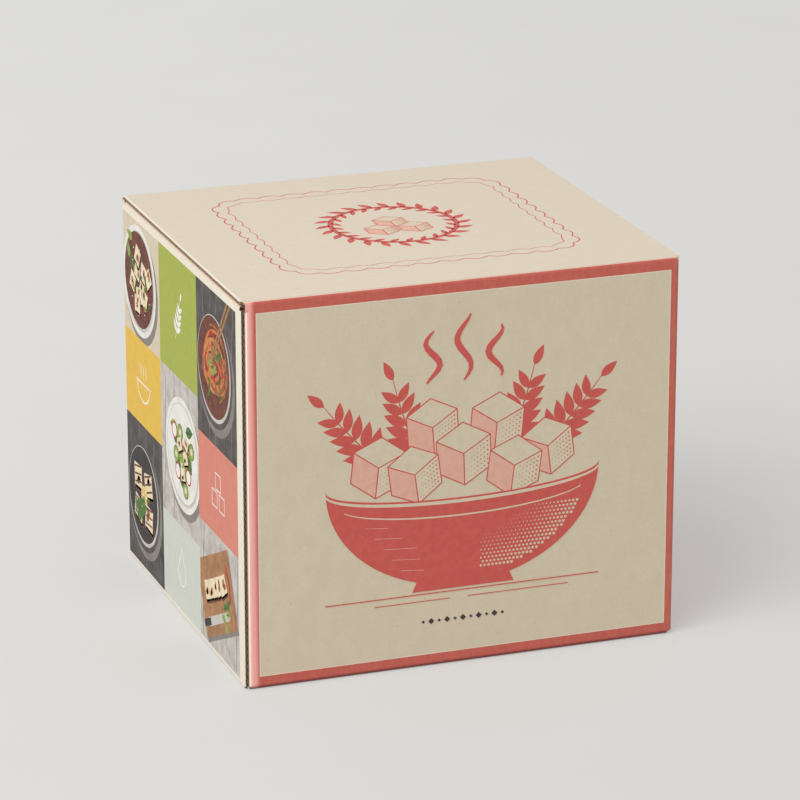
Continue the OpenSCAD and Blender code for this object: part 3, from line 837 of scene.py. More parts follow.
class Print:
    """Shapes printed on one panel: thin closed plates of ink, each a hair above the last."""

    BASE = 0.02
    STEP = 0.002
    TOP = 0.3
    SUNK = -0.01
    SHORTEST = 0.002
    SMALLEST = 0.01

    def __init__(self, panel: Panel) -> None:
        """Starts an empty print.

        Args:
            panel: the face that it is on.
        """
        self.panel = panel
        self.points: list[Vector] = []
        self.faces: list[tuple[int, ...]] = []
        self.inks: list[Ink] = []
        self.moves: list[tuple[float, ...]] = []
        self.level = self.BASE
        self.window: tuple | None = None

    def rise(self) -> "Print":
        """Lifts what is drawn next above what is drawn so far, and gives the print back."""
        self.level = min(self.level + self.STEP, self.TOP)
        return self

    @contextmanager
    def moved(self, *move: float) -> Iterator[None]:
        """Moves, turns and scales what is drawn inside it, as placed() does."""
        self.moves.append(move)
        yield
        self.moves.pop()

    def seated(self, outline: Outline) -> Outline:
        """Outline where the present moves put it."""
        return reduce(lambda found, move: placed(found, *move), reversed(self.moves), outline)

    def fill(self, outline: Outline, ink: Ink) -> None:
        """Adds one filled shape.

        Args:
            outline: its outline in mm, without holes.
            ink: its ink.
        """
        outline = self.seated(outline)
        if self.window:
            outline = clipped(outline, self.window)
        clean = [p for k, p in enumerate(outline) if math.dist(p, outline[k - 1]) > self.SHORTEST]
        area = sum(a[0] * b[1] - b[0] * a[1] for a, b in zip(clean, clean[1:] + clean[:1]))
        if len(clean) < 3 or abs(area) < self.SMALLEST:
            return
        if area < 0:
            clean.reverse()
        first, n = len(self.points), len(clean)
        for height in (self.SUNK, self.level):
            self.points += [self.panel.at(u, v, height) for u, v in clean]
        caps = [tuple(range(n))]
        if min(cross(*three) for three in zip(clean, clean[1:] + clean[:1], clean[2:] + clean[:2])) < -1e-6:
            cuts = tessellate_polygon([[Vector((u, v, 0)) for u, v in clean]])
            caps = [(a, b, c) if cross(clean[a], clean[b], clean[c]) > 0 else (a, c, b) for a, b, c in cuts]
        for cap in caps:
            self.faces.append(tuple(first + n + k for k in cap))
            self.faces.append(tuple(first + k for k in reversed(cap)))
        for k in range(n):
            after = (k + 1) % n
            self.faces.append((first + k, first + after, first + n + after, first + n + k))
        self.inks += [ink] * (n + 2 * len(caps))

    def line(self, points: Outline, width: float, ink: Ink, ends: float = 1.0) -> None:
        """Adds an open line, with the same arguments as stroke() and its ink."""
        self.fill(stroke(points, width, ends), ink)

    def loop(self, points: Outline, width: float, ink: Ink) -> None:
        """Adds a closed line.

        Args:
            points: the line's points.
            width: its width.
            ink: its ink.
        """
        points = self.seated(points)
        n, first = len(points), len(self.points)
        for side in (-1, 1):
            for height in (self.SUNK, self.level):
                for k, (u, v) in enumerate(points):
                    a, b = points[k - 1], points[(k + 1) % n]
                    along = Vector((b[0] - a[0], b[1] - a[1])).normalized() * side * width / 2
                    self.points.append(self.panel.at(u + along.y, v - along.x, height))
        for k in range(n):
            after = (k + 1) % n
            for a, b in ((0, n), (n, 3 * n), (3 * n, 2 * n), (2 * n, 0)):
                self.faces.append(tuple(first + corner for corner in (a + after, a + k, b + k, b + after)))
        self.inks += [ink] * (4 * n)

    def build(self, name: str, body: str, slot: str) -> None:
        """Makes the printed piece.

        Args:
            name: its name.
            body: the CAD body that carries it.
            slot: the record's material slot.
        """
        used = sorted(set(self.inks), key=lambda ink: ink.name)
        made = piece(name, self.points, self.faces, body, slot, *(ink.material() for ink in used))
        made.data.polygons.foreach_set("material_index", [used.index(ink) for ink in self.inks])


# ---- Printed pictures ----


class Motifs(Print):
    """Print with the plain food and leaf motifs that the panels share."""

    SEED = 7
    CUBE_LINE = 0.55
    EMBLEM_LINE = 0.75

    def __init__(self, panel: Panel) -> None:
        """Starts an empty print on a panel, with the motifs' own random numbers."""
        super().__init__(panel)
        self.rng = random.Random(self.SEED)

    def cube(self, spot: Spot, size: float) -> None:
        """Cube of tofu drawn in lines, with a pale left side and a dotted right side.

        Args:
            spot: its middle and its lean.
            size: the length of its edges.
        """
        w, h, lift = size * 0.87, size / 2, size * 0.45
        back, left, near, right = (0, h + lift), (-w, lift), (0, lift - h), (w, lift)
        low_left, foot, low_right = (-w, lift - size + 0.1), (0, lift - size - h), (w, lift - size + 0.1)
        with self.moved(*spot):
            self.rise().fill([back, left, near, right], Ink.BOARD)
            self.fill([left, low_left, foot, near], Ink.BLUSH)
            self.fill([near, foot, low_right, right], Ink.BOARD)
            self.rise()
            for a in (k / 8 for k in range(1, 8)):
                for b in (k / 7 for k in range(1, 7)):
                    dot = ellipse(w * a, lift - h + h * a - size * b, 0.12 + 0.32 * a, steps=6)
                    self.fill(dot, Ink.CORAL)
            self.rise().loop([back, left, low_left, foot, low_right, right], self.CUBE_LINE, Ink.CORAL)
            self.rise().line([left, near, right], self.CUBE_LINE, Ink.CORAL)
            self.rise().line([near, foot], self.CUBE_LINE, Ink.CORAL)

    def sprig(self, spot: Spot, length: float, ink: Ink, leaves: int = 5) -> None:
        """Stalk with pairs of leaves and one at its tip.

        Args:
            spot: its foot and its turn, anticlockwise from upright.
            length: the stalk's length.
            ink: its ink.
            leaves: how many pairs it has.
        """
        lean = 3 if spot[2] < 0 else -3
        bend = [(lean * math.sin(k / 8 * 1.7), length * k / 8) for k in range(9)]
        with self.moved(*spot):
            self.line(bend, max(0.5, length * 0.014), ink, 0.5)
            for t in (0.2 + 0.68 * k / leaves for k in range(leaves)):
                blade = leaf(length * (0.36 - 0.16 * t), length * (0.36 - 0.16 * t) * 0.42)
                for side in (-1, 1):
                    seat = (lean * math.sin(t * 1.7), length * t, side * -(58 - 22 * t))
                    self.rise().fill(placed(blade, *seat), ink)
            self.rise().fill(placed(leaf(length * 0.24, length * 0.1), *bend[-1], -4 * lean), ink)

    def scatter(self, radius: float, count: int) -> list[Point]:
        """Places spread evenly but loosely over a disc.

        Args:
            radius: the disc's radius.
            count: how many places there are.

        Returns:
            The places.
        """
        found = []
        for k in range(count):
            r = radius * math.sqrt((k + 0.5) / count) * self.rng.uniform(0.88, 1.08)
            a = k * GOLDEN_ANGLE + self.rng.uniform(-0.25, 0.25)
            found.append((r * math.cos(a), r * math.sin(a)))
        return found

    def emblem(self, ink: Ink, size: float) -> None:
        """White line motif of a colour tile.

        Args:
            ink: the tile's ink, which chooses the motif.
            size: the motif's size.
        """
        self.rise()
        if ink is Ink.GREEN_TILE:
            self.sprig((-size * 0.2, -size * 0.5, -14), size, Ink.WHITE, 4)
        elif ink is Ink.YELLOW_TILE:
            self.line(ellipse(0, 0, size * 0.48, size * 0.42, 16, 180, 180), 0.8, Ink.WHITE)
            self.line([(-size * 0.56, 0), (size * 0.56, 0)], 0.8, Ink.WHITE)
            for k in (-1, 0, 1):
                wave = [(size * (0.2 * k + 0.04 * math.sin(j)), size * (0.12 + 0.07 * j)) for j in range(6)]
                self.line(wave, 0.7, Ink.WHITE, 0.3)
        elif ink is Ink.CORAL_TILE:
            for du, dv in ((-0.25, -0.2), (0.25, -0.2), (0, 0.22)):
                self.loop(box_outline(du * size, dv * size, size * 0.36, size * 0.36), self.EMBLEM_LINE, Ink.WHITE)
        else:
            drop = [(0, 0.5), (-0.14, 0.2), *ellipse(0, -0.12, 0.28, 0.28, 12, 160, 220), (0.14, 0.2)]
            self.loop(placed(drop, 0, 0, 0, size), self.EMBLEM_LINE, Ink.WHITE)
            gleam = ellipse(0, -0.12, 0.17, 0.17, 6, 190, 80)
            self.line(placed(gleam, 0, 0, 0, size), self.EMBLEM_LINE, Ink.WHITE, 0.4)


class FrontScene(Motifs):
    """Bowl of tofu with leaves and steam, on the front and rear panels."""

    def draw(self) -> None:
        """Draws the bowl and what is round it."""
        for turn, u in ((38, -35), (14, -19), (-14, 19), (-38, 35)):
            self.sprig((u, 92, turn), 40, Ink.CORAL)
        for u, v, size, turn in (
            (-14, 108, 13, 4), (15, 107, 13.5, -5), (-38, 93, 13.5, -6), (38, 94, 13, 7),
            (0, 95, 14, 2), (-22, 88, 13, 8), (23, 87, 13.5, -7),
        ):
            self.cube((u, v, turn), size)
        self.rise().fill([(-23, 34.5), (23, 34.5), (20, 41), (-20, 41)], Ink.CORAL)
        lip = ellipse(0, 84, 61.5, 9, 48, 180, 180)
        self.rise().fill(lip + ellipse(0, 84, 61.5, 48, 36, 0, -180)[1:-1], Ink.CORAL)
        self.rise().line(placed(lip[1:-1], 0, -1.5), 1.5, Ink.BOARD, 0.5)
        self.rise().line(ellipse(0, 76.5, 55.5, 9.4, 48, 196, 148), 0.7, Ink.BOARD, 0.5)
        for row in range(15):
            for col in range(30):
                u, v = 8 + col * 1.75 + (row % 2) * 0.87, 67.5 - row * 1.75
                far = math.hypot(u / 60, (v - 82) / 46)
                if 0.55 < far < 0.93:
                    self.fill(ellipse(u, v, 0.72 * (far - 0.5) / 0.45, steps=8), Ink.BOARD)
        for k in range(0, 9, 2):
            u, wide = -44 + 2 * k, 30 - 2.5 * abs(k - 4)
            self.line([(u, 66 - 2.6 * k), (u + wide * 0.5, 65 - 2.6 * k)], 0.6, Ink.BLUSH, 0.3)
        self.line([(-62, 33.2), (62, 33.2)], 0.8, Ink.CORAL, 0.5)
        for start, end in ((-40, -6), (2, 48)):
            self.line([(start, 30.0), (end, 30.0)], 0.7, Ink.CORAL, 0.4)
        for k in (-1, 0, 1):
            wave = [(14 * k + 3.2 * math.sin(j * 0.62 + k), 127 + (1.9 if k else 2.4) * j) for j in range(13)]
            self.line(wave, 2.8, Ink.CORAL, 0.25)
        for k in range(-5, 6):
            self.fill(placed(box_outline(0, 0, 1.9, 1.9), 3.6 * k, 20.5, 45, 0.55 if k % 2 else 1.0), Ink.DARK)


class TopWreath(Motifs):
    """Wreath round three cubes in a scalloped frame, on the top panel."""

    RADIUS = 27.5

    def draw(self) -> None:
        """Draws the frame, the wreath and the cubes."""
        self.loop(scallops(66, 59, 16, 44, 2.2), 0.62, Ink.CORAL)
        self.loop(scallops(62.5, 55.5, 14, 44, -1.4), 0.42, Ink.CORAL)
        self.loop(ellipse(0, 0, self.RADIUS, steps=72), 2.4, Ink.CORAL)
        for k in range(24):
            for side, size, shift, tilt in ((1, 8.2, 0, 38), (-1, 6.2, 7.5, 142)):
                with self.moved(0, 0, 15 * k + shift):
                    self.fill(placed(leaf(size, size * 0.42), 0, self.RADIUS + side * 0.4, tilt), Ink.CORAL)
        self.rise()
        for spot in ((-7.5, -6), (7.5, -6), (0, 5)):
            self.cube(spot, 8)


class SideEmblems(Motifs):
    """Four white line emblems on the coral right panel."""

    SIZE = 36.0

    def draw(self) -> None:
        """Draws the emblems."""
        for ink, u, v in ((Ink.GREEN_TILE, -38, 122), (Ink.CORAL_TILE, 38, 122),
                          (Ink.YELLOW_TILE, -38, 48), (Ink.GREY_TILE, 38, 48)):
            with self.moved(u, v):
                self.emblem(ink, self.SIZE)


class Picture(Enum):
    """Printed pictures of the left panel's mosaic."""

    BOWL = "bowl"
    NOODLES = "noodles"
    SALAD = "salad"
    PAN = "pan"
    BOARD = "board"


@dataclass(frozen=True)
class Tile:
    """One tile of the mosaic: a picture or a plain colour with a line motif."""

    height: float
    content: Picture | Ink


class Mosaic(Motifs):
    """Mosaic of pictures and colour tiles on the left panel. A picture is drawn about its tile's middle."""

    LEFT, LOW, WIDTH = -85.3, 2.6, 55.0
    EMBLEM = 20.0
    FILLING = 0.47
    COLUMNS = (
        (Tile(68, Picture.PAN), Tile(40, Ink.YELLOW_TILE), Tile(54, Picture.BOWL)),
        (Tile(40, Ink.GREY_TILE), Tile(68, Picture.SALAD), Tile(54, Ink.GREEN_TILE)),
        (Tile(54, Picture.BOARD), Tile(40, Ink.CORAL_TILE), Tile(68, Picture.NOODLES)),
    )

    def __init__(self, panel: Panel) -> None:
        """Starts an empty mosaic on a panel."""
        super().__init__(panel)
        self.radius = 0.0

    def block(self, spot: Spot, size: float) -> None:
        """Seared block of tofu seen from above.

        Args:
            spot: its middle and its turn.
            size: its length.
        """
        u, v, turn = spot
        shape = [(-0.5, -0.42), (0.46, -0.47), (0.5, 0.4), (-0.44, 0.46)]
        self.rise().fill(placed(shape, u + size * 0.09, v - size * 0.13, turn, size), Ink.SAUCE)
        self.fill(placed(shape, u + size * 0.03, v - size * 0.07, turn, size), Ink.TOFU_SIDE)
        self.rise().fill(placed(shape, u, v, turn, size * 0.94), Ink.TOFU)
        self.rise()
        for k in range(2):
            at = (self.rng.uniform(-0.2, 0.2), self.rng.uniform(-0.2, 0.2), 40 * k)
            self.fill(placed(placed(ellipse(0, 0, 0.2, 0.13, 9), *at), *spot, size), Ink.CRUST)

    def blocks(self, radius: float, count: int, size: float) -> None:
        """Blocks of tofu scattered over a disc, with the sizes of scatter() and block()."""
        for u, v in self.scatter(radius, count):
            self.block((u, v, self.rng.uniform(0, 90)), size)

    def greens(self, spot: Spot, radius: float, count: int, size: float) -> None:
        """Scattered leaves.

        Args:
            spot: their middle.
            radius: how far they spread.
            count: how many there are.
            size: the length of one.
        """
        for k, (du, dv) in enumerate(self.scatter(radius, count)):
            with self.moved(spot[0] + du, spot[1] + dv, self.rng.uniform(0, 360)):
                self.rise().fill(leaf(size, size * 0.5), Ink.LEAF if k % 2 else Ink.LEAF_PALE)
                self.line([(0, 0), (0.3, size * 0.4), (0, size * 0.9)], 0.25, Ink.LEAF)

    def dish(self, inside: Ink, rim: Ink = Ink.DISH) -> None:
        """Round dish with its shadow.

        Args:
            inside: the ink of what fills it.
            rim: the ink of its rim.
        """
        for du, share, ink in ((2.2, 1.03, Ink.SHADE), (0, 1.0, rim), (0, 0.9, Ink.DISH_SHADE), (-0.5, 0.86, inside)):
            self.rise().fill(ellipse(du, -du, self.radius * share, steps=40), ink)

    def cloth(self, height: float, ink: Ink) -> None:
        """Table top under a dish, with boards or folds in it.

        Args:
            height: the tile's height.
            ink: its ink.
        """
        w, rng = self.WIDTH, self.rng
        self.fill(box_outline(0, 0, w, height), ink)
        self.rise()
        for k in range(5):
            at = -w / 2 + w * (k + rng.uniform(0.2, 0.6)) / 5
            bend = [(at + rng.uniform(-1, 1) + 4 * j / 6, -height / 2 + height * j / 6) for j in range(7)]
            self.line(bend, rng.uniform(0.4, 1.3), Ink.BLUSH if ink is Ink.BOARD else Ink.SHADE, 0.3)

    def bowl(self) -> None:
        """Bowl of tofu cubes in sauce, with greens and seeds."""
        r = self.radius
        self.dish(Ink.SAUCE)
        self.greens((-r * 0.2, r * 0.25), r * 0.45, 7, r * 0.34)
        self.blocks(r * 0.56, 9, r * 0.36)
        self.greens((r * 0.15, -r * 0.1), r * 0.5, 6, r * 0.2)
        self.rise()
        for du, dv in self.scatter(r * 0.7, 16):
            self.fill(ellipse(du, dv, 0.5, 0.3, 6), Ink.WHITE)

    def noodles(self) -> None:
        """Dark dish of fried noodles with peppers, and a pair of chopsticks."""
        r, rng = self.radius, self.rng
        self.dish(Ink.SAUCE, Ink.SLATE)
        for k in range(26):
            q, a = r * rng.uniform(0.15, 0.72), rng.uniform(0, 360)
            du, dv = rng.uniform(-0.12, 0.12) * r, rng.uniform(-0.12, 0.12) * r
            path = ellipse(du, dv, q, q * rng.uniform(0.6, 1.0), 12, a, rng.uniform(120, 230))
            self.rise().line(path, r * 0.06, (Ink.NOODLE, Ink.ORANGE, Ink.CRUST)[k % 3], 0.6)
        for k, (du, dv) in enumerate(self.scatter(r * 0.6, 9)):
            arc = placed(ellipse(0, 0, r * 0.16, r * 0.1, 8, 10, 200), du, dv, rng.uniform(0, 360))
            self.rise().line(arc, r * 0.07, (Ink.RED, Ink.LEAF)[k % 2], 0.5)
        self.greens((0, r * 0.1), r * 0.3, 5, r * 0.22)
        for k in (0, 1):
            self.rise().line([(k * 2.2 - r * 0.2, r * 0.1), (r * 0.9 + k * 4, r * 1.5)], 1.5, Ink.WOOD)

    def salad(self) -> None:
        """Pale dish of leaves with radish and cucumber slices."""
        r = self.radius
        radish = ((1, Ink.RED), (0.8, Ink.WHITE))
        cucumber = ((1, Ink.LEAF), (0.86, Ink.LEAF_PALE), (0.4, Ink.TOFU))
        self.dish(Ink.DISH)
        self.greens((0, 0), r * 0.55, 16, r * 0.42)
        for k, (du, dv) in enumerate(self.scatter(r * 0.58, 11)):
            for share, ink in radish if k % 2 else cucumber:
                self.rise().fill(ellipse(du, dv, r * 0.15 * share, steps=16), ink)
        self.blocks(r * 0.4, 4, r * 0.27)

    def pan(self) -> None:
        """Pan with four seared slabs, herbs and a slice of lemon."""
        r = self.radius
        self.rise().line([(0, 0), (r * 1.6, -r * 1.1)], r * 0.2, Ink.PAN)
        self.dish(Ink.PAN, Ink.SLATE)
        for k in range(4):
            spot = (r * (-0.31 + 0.62 * (k % 2)), r * (-0.3 + 0.6 * (k // 2)), 8 * k - 10)
            self.block(spot, r * 0.5)
            self.rise()
            for v in (-0.14, 0.0, 0.14):
                self.line(placed([(-0.2, v), (0.2, v + 0.04)], *spot, r), r * 0.035, Ink.SAUCE)
        with self.moved(r * 0.05, r * 0.02):
            for ink, share in ((Ink.YELLOW_TILE, 1.0), (Ink.WHITE, 0.86), (Ink.YELLOW_TILE, 0.78)):
                self.rise().fill(ellipse(0, 0, r * 0.19 * share, steps=18), ink)
            self.rise()
            for turn in (0, 60, 120):
                self.line(placed([(-r * 0.15, 0), (r * 0.15, 0)], 0, 0, turn), 0.3, Ink.WHITE)
        self.sprig((-r * 0.6, -r * 0.5, -52), r * 0.9, Ink.LEAF, 6)

    def board(self) -> None:
        """Chopping board with a sliced block, a knife, a chilli and basil."""
        r, turn = self.radius, 24
        top = box_outline(0, 0, r * 1.9, r * 1.36)
        self.rise().fill(placed(top, 1.6, -1.6, turn), Ink.SHADE)
        self.rise().fill(placed(top, 0, 0, turn), Ink.WOOD)
        for k in range(5):
            slice_at = placed([(r * (-0.5 + 0.23 * k), r * 0.12)], 0, 0, turn)[0]
            self.block((*slice_at, turn + 3 * k), r * 0.4)
        with self.moved(0, 0, turn, r):
            self.rise().fill([(-0.7, -0.5), (0.5, -0.5), (0.62, -0.44), (0.5, -0.34), (-0.7, -0.34)], Ink.DISH_SHADE)
            self.rise().fill(box_outline(-0.78, -0.42, 0.4, 0.13), Ink.PAN)
            self.line(ellipse(0.62, 0.1, 0.16, 0.36, 10, -70, 150), 0.09, Ink.RED, 0.3)
        self.greens((r * 0.45, -r * 0.2), r * 0.2, 5, r * 0.26)

    def draw(self) -> None:
        """Draws the tiles, column by column from the bottom up."""
        tables = {Picture.NOODLES: Ink.SLATE, Picture.PAN: Ink.SLATE, Picture.BOWL: Ink.BOARD}
        for number, column in enumerate(self.COLUMNS):
            left, low = self.LEFT + self.WIDTH * number, self.LOW
            for tile in column:
                high = low + tile.height
                self.level = self.BASE
                self.window = (left, low, left + self.WIDTH, high)
                with self.moved(left + self.WIDTH / 2, (low + high) / 2):
                    if isinstance(tile.content, Ink):
                        self.fill(box_outline(0, 0, self.WIDTH, tile.height), tile.content)
                        self.emblem(tile.content, self.EMBLEM)
                    else:
                        self.radius = min(self.WIDTH, tile.height) * self.FILLING
                        self.cloth(tile.height, tables.get(tile.content, Ink.LINEN))
                        with self.moved(self.WIDTH * (0.08 if number % 2 else -0.06), 0):
                            getattr(self, tile.content.value)()
                low = high
        LOG.info("mosaic of %d columns drawn", len(self.COLUMNS))


# ---- Carton ----


def dress(name: str, material: bpy.types.Material) -> None:
    """Gives a CAD node its material.

    Args:
        name: the node's name.
        material: its material.
    """
    node = frame["nodes"][name]
    if not node.material_slots:
        node.data.materials.append(material)
    for held in node.material_slots:
        held.material = material
    LOG.info("%s wears %s", name, material.name)


@dataclass
class Carton:
    """The printed carton: its boards, its prints and the creases that hold its folds together."""

    sizes: BoardSizes
    dust_z: float = 169.2
    tuck_face: float = 85.0
    crease: float = 0.05
    crease_steps: int = 8

    def dress(self) -> None:
        """Gives the carton's CAD nodes their boards."""
        s = self.sizes
        dress("carton_wrap", WrapBoard("wrap_board", s).build())
        dress("top_panel", LidBoard("lid_board", s).build())
        dress("top_tuck", FlapBoard("tuck_board", FlapKind.TUCK, self.tuck_face).build())
        dust = FlapBoard("dust_board", FlapKind.DUST, self.dust_z).build()
        for side in ("left", "right"):
            dress(f"{side}_dust", dust)

    def prints(self) -> None:
        """Prints the five panels."""
        s = self.sizes
        wall, lid = ("carton", "carton_board"), ("top_panel", "lid_board")
        for side, design, origin, across, up, carrier in (
            ("front", FrontScene, (0, -s.half_d, 0), (1, 0, 0), (0, 0, 1), wall),
            ("rear", FrontScene, (0, s.half_d, 0), (-1, 0, 0), (0, 0, 1), wall),
            ("top", TopWreath, (0, 0, s.height), (1, 0, 0), (0, 1, 0), lid),
            ("left", Mosaic, (-s.half_w, 0, 0), (0, -1, 0), (0, 0, 1), wall),
            ("right", SideEmblems, (s.half_w, 0, 0), (0, 1, 0), (0, 0, 1), wall),
        ):
            sheet = design(Panel(origin, across, up))
            sheet.draw()
            sheet.build(f"{side}_print", *carrier)

    def fold_crease(self, name: str, line: tuple[Vector, Vector], inward: Vector,
                    turn: Vector) -> None:
        """Strip of crushed liner that fills a fold.

        Args:
            name: the piece's name.
            line: the fold's two ends, in mm.
            inward: the direction from the fold's hinge line into the board.
            turn: the direction from the first body's half to the second's.
        """
        steps, depth = self.crease_steps, self.sizes.board - 0.06
        points, faces = [], []
        for k in range(steps + 1):
            off = turn * self.crease * (2 * k / steps - 1)
            for end in line:
                points += [(end + off + inward * 0.03) * MM, (end + off + inward * depth) * MM]
        for a in range(0, 4 * steps, 4):
            b = a + 4
            faces += [(a, b, b + 1, a + 1), (a + 2, a + 3, b + 3, b + 2)]
            faces += [(a, a + 2, b + 2, b), (a + 1, b + 1, b + 3, a + 3)]
        last = 4 * steps
        faces += [(0, 1, 3, 2), (last, last + 2, last + 3, last + 1)]
        paper = bpy.data.materials.get("crease_paper") or CreaseFinish("crease_paper").build()
        made = piece(name, points, faces, "", "flap_board", paper)
        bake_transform(made)

    def creases(self) -> None:
        """Makes the creases of the four folds that open."""
        s = self.sizes
        rising, falling = Vector((0, HALF, HALF)), Vector((0, HALF, -HALF))
        crisp = s.board * (1 - HALF)
        y, z = -s.half_d + crisp, s.height - crisp
        ends = (Vector((-s.half_w + 1.9, y, z)), Vector((s.half_w - 1.9, y, z)))
        self.fold_crease("top_crease", ends, falling, rising)
        y, z = self.tuck_face - s.board, s.height - s.board
        ends = (Vector((-s.half_w + 2.9, y, z)), Vector((s.half_w - 2.9, y, z)))
        self.fold_crease("tuck_crease", ends, rising, falling)
        round_in = s.fold * (1 - HALF)
        for side, name in ((-1, "left"), (1, "right")):
            x, z = side * (s.half_w - round_in), self.dust_z - round_in
            ends = (Vector((x, -s.half_d + 2.2, z)), Vector((x, self.tuck_face - 2.9, z)))
            inward, turn = Vector((-side * HALF, 0, -HALF)), Vector((-side * HALF, 0, HALF))
            self.fold_crease(f"{name}_dust_crease", ends, inward, turn)

    def build(self) -> None:
        """Dresses the carton, prints it and makes its creases."""
        self.dress()
        self.prints()
        self.creases()


# ---- Press ----


def ribs(name: str, body: str, slot: str, places: list[tuple[Matrix, Vector]]) -> None:
    """Rounded ribs, each a bar with a half-round section and shrunk ends.

    Args:
        name: the piece's name.
        body: the CAD body that carries it.
        slot: the record's material slot, which names its finish too.
        places: each rib's frame in metres and its size in mm: length along X, width along Y, height along Z.
    """
    points: list[Vector] = []
    faces: list[tuple[int, ...]] = []
    arc = [math.radians(30 * k) for k in range(7)]
    rings, n = ((-1.0, 0.55), (-0.92, 1.0), (0.92, 1.0), (1.0, 0.55)), len(arc)
    for where, size in places:
        first = len(points)
        for push, shrink in rings:
            for a in arc:
                local = (size.x / 2 * push, size.y / 2 * math.cos(a) * shrink, size.z * math.sin(a) * shrink)
                points.append(where @ (Vector(local) * MM))
        last = first + (len(rings) - 1) * n
        for a in range(first, last, n):
            for k in range(n):
                after = (k + 1) % n
                faces.append((a + k, a + after, a + n + after, a + n + k))
        faces += [tuple(range(first + n - 1, first - 1, -1)), tuple(range(last, last + n))]
    smooth(piece(name, points, faces, body, slot, bpy.data.materials[f"{slot}_finish"]))


@dataclass
class Press:
    """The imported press: its finishes, grips and small mouldings."""

    grip_count: int = 40
    latch_ribs: int = 4
    ring_steps: int = 72
    ring_section: Sequence[Point] = (
        (41.0, -0.5), (41.0, 0.25), (41.5, 0.6), (43.0, 0.6), (43.5, 0.25), (43.5, -0.5)
    )

    def dress(self) -> None:
        """Gives the press's CAD nodes their finishes."""
        finishes = (
            PlasticFinish("coral_plastic_finish", (219, 121, 104)),
            PlasticFinish("pale_plastic_finish", (232, 229, 221), 0.34),
            PlasticFinish("dark_coral_plastic_finish", (186, 92, 82), 0.22),
            ClearFinish("clear_plastic_finish"),
            RubberFinish("grey_rubber_finish", (140, 142, 145)),
            SteelFinish("spring_steel_finish"),
        )
        made = {finish.name: finish.build() for finish in finishes}
        for part in frame["record"]["subparts"]:
            name = f"{part['material_slot']}_finish"
            if name in made:
                dress(part["node"], made[name])

    def knob_grips(self) -> None:
        """Upright grip ribs round the knob, under its ring."""
        low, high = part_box("knob_housing")
        bottom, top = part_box("lid")[1].z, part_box("knob_ring")[0].z
        stand = Matrix.Translation(((high.x - low.x) / 2 - 0.0001, 0, (top + bottom) / 2))
        stand = stand @ Matrix.Rotation(math.pi / 2, 4, "Y")
        size = Vector(((top - bottom) / MM - 1.2, 2.2, 0.75))
        turns = [Matrix.Rotation(2 * math.pi * k / self.grip_count, 4, "Z") for k in range(self.grip_count)]
        ribs("knob_grips", "carton", "pale_plastic", [(turn @ stand, size) for turn in turns])

    def latch_grips(self) -> None:
        """Thumb ribs on the lower lip of each latch."""
        lean = Matrix.Rotation(-math.pi / 2, 4, "X")
        for number, side in enumerate(("rear", "right", "front", "left")):
            low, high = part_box(f"{side}_latch")
            turn = Matrix.Rotation(-math.pi / 2 * number, 4, "Z")
            axis = 0 if number % 2 else 1
            out = max(abs(low[axis]), abs(high[axis]))
            places = []
            for k in range(self.latch_ribs):
                stand = Matrix.Translation((0, out - (2.2 + 0.42 * k) * MM, low.z + (5.6 + 2.1 * k) * MM))
                places.append((turn @ stand @ lean, Vector((34 - 3.0 * k, 1.1, 0.5))))
            ribs(f"{side}_latch_grips", f"{side}_latch", "coral_plastic", places)

    def lid_ring(self) -> None:
        """Raised ring moulded on the lid round the knob's foot."""
        base, steps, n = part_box("lid")[1].z, self.ring_steps, len(self.ring_section)
        points, faces = [], []
        for k in range(steps):
            a = 2 * math.pi * k / steps
            points += [(r * MM * math.cos(a), r * MM * math.sin(a), base + z * MM) for r, z in self.ring_section]
            b, after = k * n, (k + 1) % steps * n
            faces += [(b + j, after + j, after + (j + 1) % n, b + (j + 1) % n) for j in range(n)]
        smooth(piece("lid_ring", points, faces, "carton", "pale_plastic", bpy.data.materials["pale_plastic_finish"]))

    def build(self) -> None:
        """Dresses the press and adds its small mouldings."""
        self.dress()
        self.knob_grips()
        self.latch_grips()
        self.lid_ring()


# ---- Studio ----


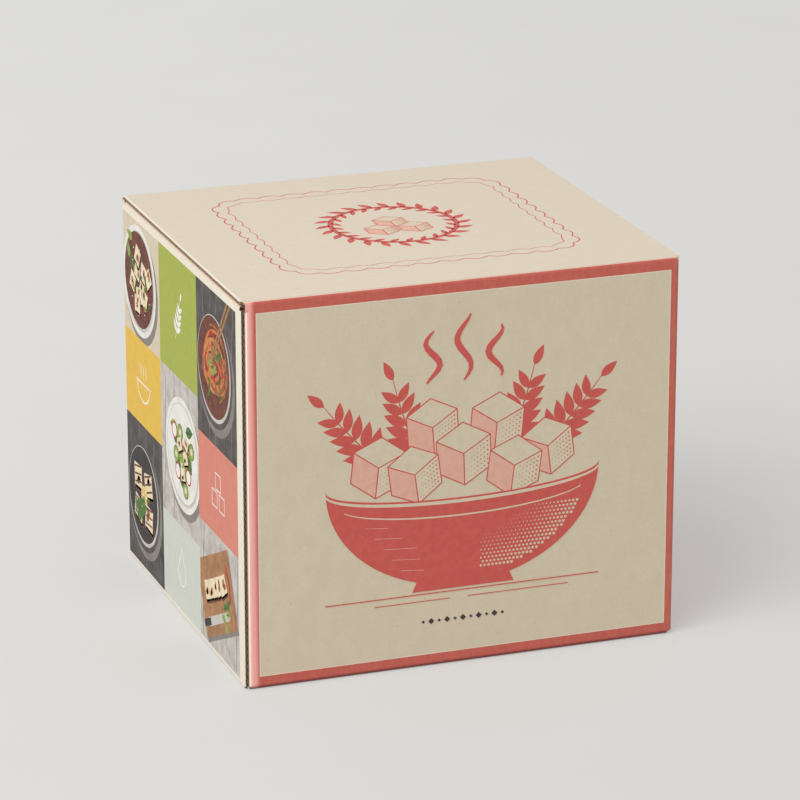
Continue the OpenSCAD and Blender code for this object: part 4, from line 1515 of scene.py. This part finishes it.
@dataclass
class Studio:
    """Floor, light and camera of a plain photo studio."""

    azimuth: float = -19.79
    elevation: float = 18.46
    distance: float = 1.842
    aim: tuple[float, float, float] = (0.0, 0.0, 0.0855)
    shift: tuple[float, float] = (0.0028, 0.0048)
    lens: float = 188.18
    sky: float = 0.6
    key: float = 0.74
    key_from: tuple[float, float, float] = (-0.39, -0.22, 0.5)
    key_size: float = 2.4
    key_distance: float = 3.0
    floor_size: float = 9.0
    floor_steps: int = 12

    def camera(self) -> None:
        """Puts the camera where the photograph was taken from."""
        a, e = math.radians(self.azimuth), math.radians(self.elevation)
        back = Vector((math.sin(a) * math.cos(e), -math.cos(a) * math.cos(e), math.sin(e)))
        right = Vector((math.cos(a), math.sin(a), 0))
        up = back.cross(right)
        place = Vector(self.aim) + back * self.distance + right * self.shift[0] + up * self.shift[1]
        data = bpy.data.cameras.new("photo_camera")
        data.lens, data.sensor_width, data.clip_start = self.lens, 36.0, 0.1
        made = bpy.data.objects.new("photo_camera", data)
        made.matrix_world = Matrix.Translation(place) @ Matrix((right, up, back)).transposed().to_4x4()
        bpy.context.scene.collection.objects.link(made)
        bpy.context.scene.camera = made

    def lights(self) -> None:
        """Adds the even sky and the large key light."""
        world = bpy.data.worlds.new("studio_sky")
        bpy.context.scene.world = world
        world.use_nodes = True
        sky = world.node_tree.nodes["Background"].inputs
        sky["Color"].default_value = (1.0, 0.995, 0.985, 1.0)
        sky["Strength"].default_value = self.sky
        data = bpy.data.lights.new("key_light", "AREA")
        data.shape, data.size = "DISK", self.key_size
        data.energy = self.key * math.pi ** 2 * self.key_distance ** 2
        data.color = (1.0, 0.985, 0.96)
        made = bpy.data.objects.new("key_light", data)
        toward = Vector(self.key_from).normalized()
        made.location = Vector(self.aim) + toward * self.key_distance
        made.rotation_euler = toward.to_track_quat("Z", "Y").to_euler()
        bpy.context.scene.collection.objects.link(made)

    def floor(self) -> None:
        """Lays the floor, a wide sheet in a grid of faces, just under the carton."""
        mesh = bpy.data.meshes.new("studio_floor")
        steps = self.floor_steps
        row = steps + 1
        marks = [(k / steps - 0.5) * self.floor_size for k in range(row)]
        corners = [j * row + i for j in range(steps) for i in range(steps)]
        faces = [(c, c + 1, c + row + 1, c + row) for c in corners]
        mesh.from_pydata([(x, y, 0.0) for y in marks for x in marks], [], faces)
        mesh.materials.append(FloorFinish("studio_paper").build())
        made = bpy.data.objects.new("studio_floor", mesh)
        made.location.z = -0.0001
        bpy.context.scene.collection.objects.link(made)

    def build(self) -> None:
        """Makes the studio."""
        self.camera()
        self.lights()
        self.floor()
        bpy.context.scene.view_settings.view_transform = "Standard"
        LOG.info("studio ready")


def main() -> None:
    """Builds every part of the scene in order."""
    logging.basicConfig(level=logging.INFO, format="%(name)s: %(message)s")
    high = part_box("carton_wrap")[1] / MM
    sizes = BoardSizes(half_w=high.x, half_d=high.y, height=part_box("top_panel")[1].z / MM)
    LOG.info("carton %.1f by %.1f by %.1f mm", 2 * sizes.half_w, 2 * sizes.half_d, sizes.height)
    Studio().build()
    Carton(sizes).build()
    Press().build()


if __name__ == "__main__":
    main()
